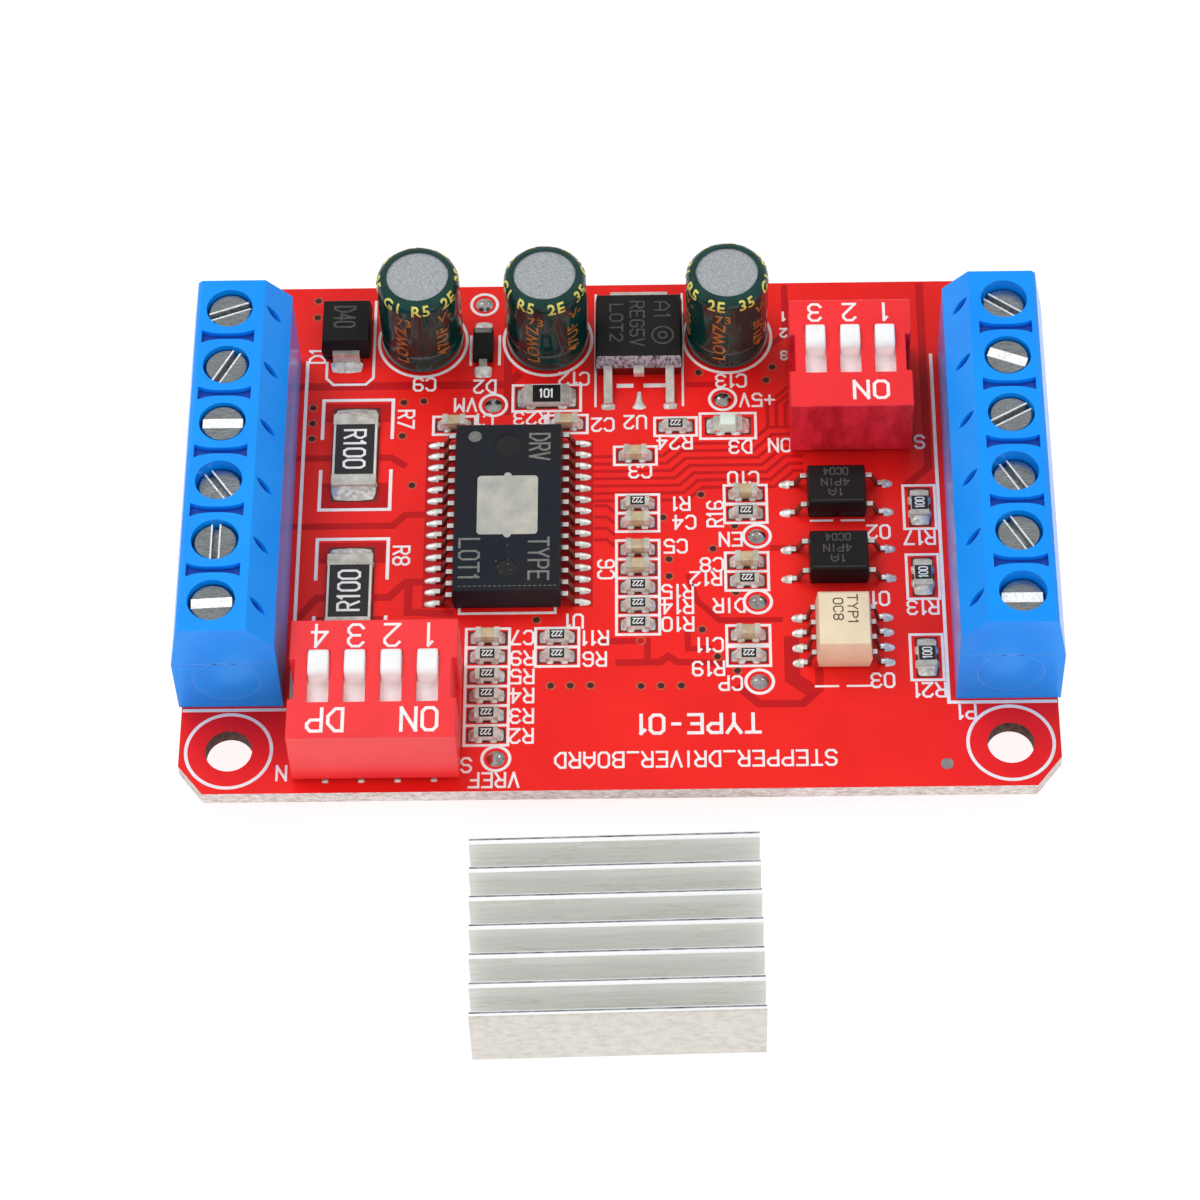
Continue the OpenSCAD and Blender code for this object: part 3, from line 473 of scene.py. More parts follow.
    # Painted shade along the back edge of each fin's tip
    M["fin_tip_shade"] = moulded("fin_tip_shade", (0.42, 0.44, 0.46), (0.07, 0.08, 0.1), grain=0.2, metal=0.3,
                            rough=(0.3, 0.45), depth=0.004, cloud=0.35, stretch=(2.5, 1, 1))


# ---------------------------------------------------------------- mesh helpers

def piece(name, bm, materials, smooth_deg=None):
    """Turns a bmesh into an object with these materials."""
    mesh = bpy.data.meshes.new(name)
    bmesh.ops.recalc_face_normals(bm, faces=bm.faces)
    bm.to_mesh(mesh)
    bm.free()
    for material in materials:
        mesh.materials.append(material)
    if smooth_deg is not None:
        mesh.shade_smooth()
        mesh.set_sharp_from_angle(angle=math.radians(smooth_deg))
    obj = bpy.data.objects.new(name, mesh)
    bpy.context.scene.collection.objects.link(obj)
    return obj


def on_board(name, bm, material, smooth_deg=None):
    """A piece that is fixed to the board."""
    obj = piece(name, bm, [M[material]], smooth_deg)
    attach(obj, "root")


def on_node(node, name, bm, material, smooth_deg=None):
    """A piece that rides with a CAD node."""
    obj = piece(name, bm, [M[material]], smooth_deg)
    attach(obj, NODES[node]["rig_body"])
    return obj


def prism(bm, outline, z0, z1):
    """Closed slab with a flat outline, in millimetres."""
    low = [bm.verts.new(mm(x, y, z0)) for x, y in outline]
    high = [bm.verts.new(mm(x, y, z1)) for x, y in outline]
    bm.faces.new(low[::-1])
    bm.faces.new(high)
    count = len(outline)
    for i in range(count):
        j = (i + 1) % count
        bm.faces.new((low[i], low[j], high[j], high[i]))


def slab(bm, x0, y0, x1, y1, z0, z1):
    """Closed slab with a rectangular outline."""
    prism(bm, [(x0, y0), (x1, y0), (x1, y1), (x0, y1)], z0, z1)


def lay(bm, other, matrix=Matrix()):
    """Moves a second bmesh by a matrix, adds it to the first and frees it."""
    other.transform(matrix)
    spare = bpy.data.meshes.new("spare")
    other.to_mesh(spare)
    other.free()
    bm.from_mesh(spare)
    bpy.data.meshes.remove(spare)


def circle(x, y, r, count=32):
    return [(x + r * math.cos(2 * math.pi * i / count), y + r * math.sin(2 * math.pi * i / count))
            for i in range(count)]


def ring(bm, x, y, r_in, r_out, z0, z1, count=48):
    """Closed flat ring."""
    loops = []
    for r, z in ((r_in, z0), (r_out, z0), (r_out, z1), (r_in, z1)):
        loops.append([bm.verts.new(mm(px, py, z)) for px, py in circle(x, y, r, count)])
    for a, b in zip(loops, loops[1:] + loops[:1]):
        for i in range(count):
            j = (i + 1) % count
            bm.faces.new((a[i], a[j], b[j], b[i]))


def strip(bm, points, width, z0, z1, closed=False):
    """Flat strip along a line of points, mitred at its corners, with square ends."""
    line = [Vector(p) for p in points]
    if not closed:
        first = (line[1] - line[0]).normalized() * width / 2
        last = (line[-1] - line[-2]).normalized() * width / 2
        line[0], line[-1] = line[0] - first, line[-1] + last
    count = len(line)
    rings = []
    for i, p in enumerate(line):
        before = line[i - 1] if closed or i else None
        after = line[(i + 1) % count] if closed or i < count - 1 else None
        ways = [(b - a).normalized() for a, b in ((before, p), (p, after)) if a is not None and b is not None]
        along = sum(ways, Vector((0, 0))).normalized()
        across = Vector((-along.y, along.x))
        reach = width / 2 / max(0.35, across.dot(Vector((-ways[0].y, ways[0].x))))
        a, b = p - across * reach, p + across * reach
        rings.append([bm.verts.new(mm(q.x, q.y, z)) for q, z in ((a, z0), (b, z0), (b, z1), (a, z1))])
    for i in range(count if closed else count - 1):
        a, b = rings[i], rings[(i + 1) % count]
        for k in range(4):
            m = (k + 1) % 4
            bm.faces.new((a[k], b[k], b[m], a[m]))
    if not closed:
        bm.faces.new(rings[0])
        bm.faces.new(rings[-1][::-1])


class Ink:
    """Printed lines and letters. Each stroke is a hair higher than the last, so no two tie."""

    def __init__(self, bm, z0, z1, width):
        self.bm, self.z0, self.z1, self.width, self.count = bm, z0, z1, width, 0

    def line(self, points, width=None, closed=False):
        self.count += 1
        strip(self.bm, points, width or self.width, self.z0, self.z1 + 0.0006 * (self.count % 14), closed)

    def box(self, x0, y0, x1, y1):
        self.line([(x0, y0), (x1, y0), (x1, y1), (x0, y1)], closed=True)

    def ring(self, x, y, r, width=None, count=56):
        self.line(circle(x, y, r, count), width, True)

    def words(self, text, x, y, height, turn=180, width=None, weight=None):
        """Stroked letters, centred on x, y. A stroke is cut at its sharp corners, so it never
        runs into itself."""
        wide = [2 if letter in "1I" else 4 for letter in text]
        total = sum(wide) + LETTER_GAP * (len(text) - 1)
        unit_x = width / total if width else height * LETTER_WIDTH / 4
        unit_y = height / 6
        spin = Matrix.Rotation(math.radians(turn), 2)
        start = -total / 2
        for letter, columns in zip(text, wide):
            for stroke in STROKES[letter].split("|"):
                points = []
                for spot in stroke.split():
                    px = (int(spot[0]) - (4 - columns) / 2 + start) * unit_x
                    points.append(Vector((x, y)) + spin @ Vector((px, (int(spot[1]) - 3) * unit_y)))
                if len(points) > 3 and points[0] == points[-1]:
                    self.line(points[:-1], weight, True)
                    continue
                run = points[:2]
                for corner in points[2:]:
                    if (run[-1] - run[-2]).angle(corner - run[-1]) > SHARP_TURN:
                        self.line(run, weight)
                        run = run[-1:]
                    run.append(corner)
                self.line(run, weight)
            start += columns + LETTER_GAP


# Width of a letter for its height, and the gap after it in quarters of that width
LETTER_WIDTH = 0.57
LETTER_GAP = 1.8
# A stroke that turns by more than this is cut
SHARP_TURN = math.radians(100)

# Letters as strokes: each point is its column 0-4 and its row 0-6
STROKES = {
    "0": "10 01 05 16 36 45 41 30 10", "1": "15 26 20", "2": "05 16 36 45 44 00 40",
    "3": "05 16 36 45 44 33 42 41 30 10 01|13 33", "4": "30 36 02 42", "5": "46 06 03 33 42 41 30 10 01",
    "6": "45 36 16 05 01 10 30 41 42 33|33 03", "7": "06 46 10",
    "8": "13 04 05 16 36 45 44 33 13|13 02 01 10 30 41 42 33", "9": "01 10 30 41 45 36 16 05 04 13|13 43",
    "A": "00 04 26 44 40|02 42", "B": "00 06|06 36 45 44 33 03|33 42 41 30 00",
    "C": "45 36 16 05 01 10 30 41", "D": "00 06 26 44 42 20 00", "E": "46 06 00 40|03 33",
    "F": "00 06 46|03 33", "G": "45 36 16 05 01 10 30 41 43 23", "H": "00 06|40 46|03 43", "I": "20 26",
    "L": "06 00 40", "M": "00 06 23 46 40", "N": "00 06 40 46", "O": "10 01 05 16 36 45 41 30 10",
    "P": "00 06|06 36 45 44 33 03", "R": "00 06|06 36 45 44 33 03|23 40",
    "S": "45 36 16 05 04 13 33 42 41 30 10 01", "T": "06 46|26 20", "U": "06 01 10 30 41 46",
    "V": "06 20 46", "W": "06 10 24 30 46", "Y": "06 23 46|23 20", "_": "00 40", "-": "13 33",
    "+": "03 43|21 25"}


def text_mesh(words):
    """A thin closed mesh of words, one unit high, centred on its own middle."""
    curve = bpy.data.curves.new("words", "FONT")
    curve.body = words
    curve.size = 1
    curve.offset = 0.02
    curve.extrude = 0.01
    curve.resolution_u = 3
    curve.space_character = 1.12
    holder = bpy.data.objects.new("words", curve)
    bpy.context.scene.collection.objects.link(holder)
    bpy.context.view_layer.update()
    mesh = bpy.data.meshes.new_from_object(holder.evaluated_get(bpy.context.evaluated_depsgraph_get()))
    bpy.data.objects.remove(holder)
    bpy.data.curves.remove(curve)
    xs = [v.co.x for v in mesh.vertices]
    ys = [v.co.y for v in mesh.vertices]
    centre = Vector(((min(xs) + max(xs)) / 2, (min(ys) + max(ys)) / 2, 0))
    mesh.transform(Matrix.Translation(-centre))
    return mesh, max(xs) - min(xs), max(ys) - min(ys)


def box_of(node):
    low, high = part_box(node)
    return low / MM, high / MM


def islands(node):
    """Boxes (centre, size) of the separate solids of a CAD node, in millimetres, back to front."""
    bm = bmesh.new()
    bm.from_mesh(NODES[node].data)
    bmesh.ops.remove_doubles(bm, verts=bm.verts, dist=1e-7)
    found, seen = [], set()
    for vert in bm.verts:
        if vert in seen:
            continue
        stack, group = [vert], []
        seen.add(vert)
        while stack:
            v = stack.pop()
            group.append(v.co / MM)
            for edge in v.link_edges:
                other = edge.other_vert(v)
                if other not in seen:
                    seen.add(other)
                    stack.append(other)
        low = Vector([min(c[i] for c in group) for i in range(3)])
        high = Vector([max(c[i] for c in group) for i in range(3)])
        found.append(((low + high) / 2, high - low))
    bm.free()
    return sorted(found, key=lambda f: (round(f[0].x, 1), -f[0].y))


# Edges turned by more than this are softened
SHARP = math.radians(35)


def finish_node(name, material, bevel=0.0, holed=False):
    """Gives a CAD node its finish. With a bevel, a copy with softened edges stands for the node."""
    node = NODES[name]
    if not bevel:
        node.data.materials.clear()
        node.data.materials.append(M[material])
        return
    bm = bmesh.new()
    bm.from_mesh(node.data)
    bmesh.ops.remove_doubles(bm, verts=bm.verts, dist=2e-7)
    if not holed:
        bmesh.ops.dissolve_limit(bm, angle_limit=math.radians(1), verts=bm.verts, edges=bm.edges)
    edges = [e for e in bm.edges if len(e.link_faces) == 2 and e.calc_face_angle(0) > SHARP]
    bmesh.ops.bevel(bm, geom=edges, offset=bevel * MM, segments=1 if holed else 2, profile=0.6,
                    affect="EDGES", clamp_overlap=True, miter_outer="ARC")
    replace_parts(on_node(name, name + "_look", bm, material, None if holed else 30), name)


# ---------------------------------------------------------------- soldered detail

def fillet(bm, x, y, dx, dy, width, length, height, toe):
    """Solder that runs out from (x, y) along (dx, dy), high at the part and thin at its toe, which
    is toe times as wide."""
    steps = 7
    along = Vector((dx, dy)).normalized()
    across = Vector((-along.y, along.x))
    top, low = [], []
    for i in range(steps + 1):
        u = i / steps
        narrow = 1 - (1 - toe) * u ** 2
        row_top, row_low = [], []
        for j in range(-steps, steps + 1):
            v = j / steps
            spot = Vector((x, y)) + along * length * (u - 0.12 * u * v * v) + across * width / 2 * v * narrow
            rise = height * (1 - u) ** 1.7 * (1 - 0.5 * v ** 4) + 0.05 * (1 - u ** 6) * (1 - v ** 6)
            row_top.append(bm.verts.new(mm(spot.x, spot.y, TOP + 0.012 + rise)))
            row_low.append(bm.verts.new(mm(spot.x, spot.y, TOP + 0.004)))
        top.append(row_top)
        low.append(row_low)
    last = 2 * steps
    for i in range(steps):
        for j in range(last):
            bm.faces.new((top[i][j], top[i + 1][j], top[i + 1][j + 1], top[i][j + 1]))
            bm.faces.new((low[i][j + 1], low[i + 1][j + 1], low[i + 1][j], low[i][j]))
    for i in range(steps):
        for j in (0, last):
            bm.faces.new((top[i][j], low[i][j], low[i + 1][j], top[i + 1][j]))
    for j in range(last):
        for i in (0, steps):
            bm.faces.new((top[i][j], top[i][j + 1], low[i][j + 1], low[i][j]))


def dome(bm, x, y, dx, dy, height):
    """Low closed dome with a rounded square foot, on the board."""
    rows, count = 5, 20
    loops = []
    for i in range(rows):
        u = i / rows
        rise = height * math.sqrt(1 - (1 - u) ** 2)
        loop = []
        for k in range(count):
            a = 2 * math.pi * k / count
            c, s = math.cos(a), math.sin(a)
            px = x + dx * (1 - u) ** 0.6 * math.copysign(abs(c) ** 0.55, c)
            py = y + dy * (1 - u) ** 0.6 * math.copysign(abs(s) ** 0.55, s)
            loop.append(bm.verts.new(mm(px, py, TOP + 0.006 + rise)))
        loops.append(loop)
    for a, b in zip(loops, loops[1:]):
        for k in range(count):
            m = (k + 1) % count
            bm.faces.new((a[k], a[m], b[m], b[k]))
    bm.faces.new(loops[0][::-1])
    bm.faces.new(loops[-1])


def solder_detail():
    bm = bmesh.new()
    shade = bmesh.new()
    for name, reach in (("resistor_bodies", 0.42), ("ceramic_capacitor_bodies", 0.42),
                        ("indicator_led", 0.6)):
        for centre, size in islands(name):
            if centre.z + size.z / 2 > TOP + 0.6 and name == "indicator_led":
                continue
            big = max(size.x, size.y) > 5
            lengthwise = size.x > size.y
            half = (size.x if lengthwise else size.y) / 2 + 0.04
            wide = (size.y if lengthwise else size.x) + (0.1 if big else 0.16)
            run = 0.95 if big else (0.55 if max(size.x, size.y) > 1.9 else reach)
            for side in (-1, 1):
                dx, dy = (side, 0) if lengthwise else (0, side)
                fillet(bm, centre.x + dx * half, centre.y + dy * half, dx, dy, wide, run,
                       min(0.45, size.z * 0.8), 0.85)
                pad = 0.32 if max(size.x, size.y) < 1.9 else 0.45
                skirt = wide / 2 + (0.14 if not big else 0.05)
                dome(bm, centre.x + dx * (half - pad), centre.y + dy * (half - pad),
                     pad if lengthwise else skirt, skirt if lengthwise else pad, 0.2)
            # Dark ground round each part and its pads: bare laminate, with painted shade under and beside the
            # part
            mx, my = half + run + 0.12, wide / 2 + 0.1
            if not lengthwise:
                mx, my = my, mx
            slab(shade, centre.x - mx, centre.y - my, centre.x + mx, centre.y + my, TOP - 0.01, TOP + 0.003)
    for name, body, run, wide in (("driver_chip_leads", "driver_chip_body", 0.8, 0.62),
                                  ("optocoupler_leads", "optocoupler_black_bodies", 0.75, 0.75)):
        low, high = box_of(body)
        for centre, size in islands(name):
            side = 1 if centre.x > (low.x + high.x) / 2 else -1
            fillet(bm, centre.x + side * (size.x / 2 - 0.1), centre.y, side, 0, wide, run, 0.16, 0.6)
    low, high = box_of("regulator_body")
    for name, run in (("regulator_leads", 0.35), ("diode_leads", 0.8)):
        regulator = name == "regulator_leads"
        for centre, size in islands(name):
            broad = size.x > 1.5
            middle = (low.y + high.y) / 2 if regulator else BOARD_HI.y - (5 if broad else 6)
            side = 1 if centre.y > middle else -1
            if centre.z - size.z / 2 > TOP + 0.3 or regulator and side > 0:
                continue
            fillet(bm, centre.x, centre.y + side * (size.y / 2 - 0.05), 0, side,
                   1.05 if regulator else size.x + (0.4 if broad else 0.75), run, 0.3, 0.85)
    # The regulator's cut middle lead leaves its pad empty: a small pyramid of solder
    fillet(bm, (low.x + high.x) / 2, low.y - 1.6, 0, -1, 0.35, 1.45, 0.22, 3.0)
    # Solder that shows under the front edge of the four way switch
    for i in range(1, 5):
        slider = box_of(f"switch4_slider_{i}")
        dome(bm, (slider[0].x + slider[1].x) / 2 + 0.25, box_of("switch4_cover")[0].y, 0.24, 0.16, 0.14)
    on_board("solder_fillets", bm, "solder", 60)
    on_board("pad_shade", shade, "pad_shade")


# ---------------------------------------------------------------- printed board detail

# Reach of the print above the board, and its usual stroke
SILK_LO, SILK_HI = TOP + 0.004, TOP + 0.024
INK = 0.2
# The mounting holes lie this far in from two sides
HOLE_INSET = 3.5

# Reference designators: words, x, y, and the turn of those that aren't upside down
LABELS = [
    ("R7", -15.78, 9.9, -90), ("R8", -15.8, -2.3, -90), ("D1", -22.6, 15.85, 90), ("C9", -14.5, 13.1),
    ("D2", -10.0, 12.83), ("C12", -3.35, 13.45), ("VM", -11.4, 11.15), ("R23", -6.5, 9.85),
    ("C1", -10.0, 9.7), ("C2", -1.2, 9.2), ("U2", 1.2, 9.4), ("C13", 8.35, 13.1), ("+5V", 10.25, 11.3),
    ("R24", 4.1, 7.5), ("D3", 8.95, 7.05), ("C3", 1.55, 4.95), ("C10", 9.1, 4.2), ("R1", 4.5, 2.0),
    ("C4", 4.75, 0.35), ("R16", 7.0, 1.05, 90), ("EN", 8.1, -1.2), ("O2", 18.85, -0.7), ("R17", 21.8, -1.25),
    ("C5", 4.1, -1.75), ("C6", -0.95, -3.7, 90), ("R15", 4.2, -5.7), ("R14", 4.2, -7.0), ("R10", 4.2, -8.5),
    ("C8", 6.7, -3.4), ("R12", 6.25, -4.6), ("DIR", 7.9, -6.95), ("C11", 6.45, -10.3), ("R19", 6.35, -12.3),
    ("CP", 7.9, -13.55), ("O1", 18.75, -6.5), ("R13", 21.8, -7.3), ("O3", 18.7, -13.45),
    ("R21", 22.0, -14.3), ("P1", 24.5, -16.15), ("U1", -3.25, -8.15), ("C7", -6.95, -9.5),
    ("R9", -6.9, -11.25), ("R5", -6.9, -12.8), ("R4", -6.9, -14.4), ("R3", -6.9, -16.1),
    ("R2", -6.9, -17.75), ("R11", -1.75, -9.6), ("R6", -1.75, -11.4), ("VREF", -8.8, -21.35),
    ("N", -23.7, -20.6), ("S", -10.75, -20.1), ("ON", 11.85, 7.15), ("S", 22.15, 7.3)]
LABEL_H = 1.13
LABEL_STROKE = 0.17

# Small figures beside the second switch bank
FIGURES = [("1", 12.35, 19.05), ("2", 12.35, 17.5), ("3", 12.35, 15.4)]

# Drilled vias, x and y
VIAS = [(-22.73, 21.05), (-22.73, 19.47), (-22.73, 11.06), (-22.73, 9.63), (-22.73, 8.23), (-16.0, 11.45),
        (-14.52, 11.55), (-16.04, 8.4), (-15.2, 3.92), (5.94, 13.9), (11.44, 14.33), (10.95, 13.12),
        (5.98, 2.8), (3.2, 0.8), (8.4, 0.0), (6.8, -2.0), (3.6, -2.87), (3.6, -4.35), (8.4, -5.8),
        (1.54, -9.9), (5.94, -8.98), (7.0, -11.3), (8.4, -12.5), (1.54, -13.7), (2.96, -13.7),
        (4.4, -13.7), (-4.88, -13.6), (-3.49, -13.6), (-2.05, -13.6), (-5.95, -8.0)]


def silkscreen():
    bm = bmesh.new()
    ink = Ink(bm, SILK_LO, SILK_HI, INK)
    for words, x, y, *turn in LABELS:
        ink.words(words, x, y, LABEL_H, *turn or [180], weight=LABEL_STROKE)
    for words, x, y in FIGURES:
        ink.words(words, x, y, 0.75, weight=LABEL_STROKE)
    ink.words("TYPE-01", 5.6, -16.9, 1.5, 180, 8.6, 0.25)
    ink.words("STEPPER_DRIVER_BOARD", 5.35, -19.8, 1.2, 180, 19.7, LABEL_STROKE)
    # Rings round the mounting holes, the test points and the capacitors
    for sx in (-1, 1):
        for sy in (-1, 1):
            ink.ring(sx * (BOARD_HI.x - HOLE_INSET), sy * (BOARD_HI.y - HOLE_INSET), 3.02, 0.24, 72)
    for centre, size in islands("solder_joints"):
        if centre.z > TOP:
            ink.ring(centre.x, centre.y, 0.98, 0.22)
    for centre, size in islands("capacitor_sleeves"):
        ink.ring(centre.x, centre.y, 3.3, 0.22, 64)
    # Boxes round the chip parts
    for name in ("resistor_bodies", "ceramic_capacitor_bodies", "indicator_led"):
        for centre, size in islands(name):
            if max(size.x, size.y) > 5 or (name == "indicator_led" and size.z > 0.4):
                continue
            if name == "indicator_led":
                w, h = 2.05, 1.15
            elif size.y > size.x:
                w, h = 1.15, 1.92
            elif size.x > 3:
                w, h = 2.52, 1.2
            else:
                w, h = 1.55, 0.82
            ink.box(centre.x - w, centre.y - h, centre.x + w, centre.y + h)
    # Brackets round the two sense resistors
    for centre, size in islands("resistor_bodies"):
        if max(size.x, size.y) < 5:
            continue
        x0, x1 = centre.x - 2.5, centre.x + 2.67
        for end in (-1, 1):
            y = centre.y + end * 4.95
            arm = end * (3.1 if centre.y < 0 and end < 0 else 3.45)
            ink.line([(x0, y - arm), (x0, y), (x1, y), (x1, y - arm)], 0.25)
    # Terminal outlines
    for side in (-1, 1):
        y0, y1 = -15.35, 15.25
        ink.line([(side * 23.3, y1), (side * 23.3, y0), (side * 30.8, y0)], 0.25)
        ink.line([(side * 24.0, y1), (side * 24.0, y1 + 0.7)])
    # Chip, regulator, diodes and optocouplers
    ink.line([(-11.5, -6.8), (-11.5, -7.4), (-4.6, -7.4), (-4.6, -6.8)])
    for x in (-1.75, 4.75):
        ink.line([(x, 21.3), (x, 10.9)], 0.16)
    for x0, x1 in ((0.0, 0.9), (2.0, 3.4)):
        ink.line([(x0, 12.75), (x1, 12.75)], 0.35)
    ink.line([(-21.85, 15.2), (-21.85, 13.75), (-21.3, 13.15), (-18.9, 13.15), (-18.35, 13.75),
              (-18.35, 20.9)])
    for x in (-11.1, -8.95):
        ink.line([(x, 17.5), (x, 14.9)])
    for x0, x1 in ((13.95, 15.5), (16.2, 17.8)):
        ink.line([(x0, 0.35), (x1, 0.35)], 0.16)
        ink.line([(x0, -13.9), (x1, -13.9)], 0.16)
    on_board("silkscreen", bm, "silk")


def vias():
    # Dark discs stand for the open via holes: painted shade in them
    rim, hole = bmesh.new(), bmesh.new()
    for x, y in VIAS:
        ring(rim, x, y, 0.24, 0.37, TOP + 0.002, TOP + 0.014, 24)
        prism(hole, circle(x, y, 0.25, 24), TOP + 0.001, TOP + 0.008)
    on_board("via_rims", rim, "via_rim")
    on_board("via_holes", hole, "hole")
    dot = bmesh.new()
    prism(dot, circle(22.95, -20.4, 0.45, 32), TOP + 0.002, TOP + 0.012)
    on_board("tooling_dot", dot, "grey_dot")


# Gaps between the copper areas, seen through the mask: width and points
GROOVES = [
    (0.7, [(-24, 13.0), (-8.3, 13.0), (-7.6, 13.8)]), (0.55, [(-24, 6.45), (-16.8, 6.45), (-15.9, 5.8)]),
    (0.55, [(-24, 0.35), (-16.5, 0.35), (-15.6, 1.3), (-14.2, 1.3)]),
    (0.6, [(-23.0, -7.5), (-21.8, -5.9), (-16.6, -5.9), (-15.4, -4.6), (-14.4, -4.6)]),
    (0.6, [(-15.2, -4.9), (-15.2, -7.2), (-12.2, -7.4)]),
    (0.6, [(-8.3, 19.5), (-8.3, 10.5)]), (0.5, [(5.2, 12.8), (7.2, 12.8)]),
    (0.55, [(0.0, -11.7), (2.9, -11.7), (3.5, -11.2), (4.1, -11.7), (8.3, -11.9)]),
    (0.6, [(8.6, -14.0), (9.9, -15.3), (13.0, -15.3), (14.2, -14.1), (14.2, -12.6)]),
    (0.45, [(5.0, -4.4), (5.6, -6.5), (7.2, -8.2), (11.5, -8.2)]),
    (0.45, [(4.9, -9.2), (4.9, -10.6), (6.4, -10.6)]), (0.5, [(-1.2, -9.9), (2.0, -9.9), (2.0, -11.4)]),
    (1.1, [(12.3, -10.2), (12.3, -13.2), (13.2, -13.9)]), (0.5, [(11.2, -2.0), (13.2, -2.0)]),
    (0.6, [(22.7, 21.8), (22.7, 5.0), (21.0, 3.4)]), (0.5, [(12.5, 21.8), (12.5, 17.5), (11.0, 16.0)])]

# Bare patches of laminate under the mask: x and y of two opposite corners
PATCHES = [(-21.85, 9.7, -16.95, 11.4), (-21.85, 1.8, -16.95, 4.2), (-21.85, -2.9, -16.95, -1.1),
           (-21.85, -7.9, -16.95, -7.5), (-14.2, -6.9, -12.0, 7.8), (-4.1, -6.9, -1.9, 7.8)]


def copper_gaps():
    bm = bmesh.new()
    for corners in PATCHES:
        slab(bm, *corners, TOP - 0.01, TOP + 0.0003)
    ink = Ink(bm, TOP - 0.01, TOP + 0.0009, 0.3)
    for width, points in GROOVES:
        ink.line(points, width)
    # The bus of tracks that steps up to the right of the chip
    for i in range(7):
        drop = i * 0.66
        ink.line([(-2.2, 6.3 - drop), (3.2 + i * 0.3, 6.3 - drop), (4.3 + i * 0.3, 7.4 - drop),
                  (9.6 + i * 0.3, 7.4 - drop), (11.0 + i * 0.3, 8.8 - drop), (13.4, 8.8 - drop)], 0.27)
    for i in range(3):
        step = i * 0.66
        ink.line([(11.0 + step, 8.9), (11.0 + step, 10.9), (13.0 + step, 12.9)], 0.27)
    for i in range(4):
        drop = i * 1.0
        ink.line([(-1.7, 1.9 - drop), (-0.9, 1.9 - drop), (-0.4, 1.4 - drop)], 0.27)
    on_board("copper_gaps", bm, "groove")


# ---------------------------------------------------------------- marks on the parts

# Inner slope of a terminal block, and how far the middle of its slit lies from the screw's axis
SLOPE_RUN, SLOPE_DROP, SLIT_X = 1.8, 2.0, 4.3 - (1 - 0.37) * 1.8

# Reach of a printed mark above its surface
MARK_LO, MARK_HI = 0.001, 0.008


def mark_on(bm, z, width):
    """Ink for marks on a surface at height z."""
    return Ink(bm, z + MARK_LO, z + MARK_HI, width)


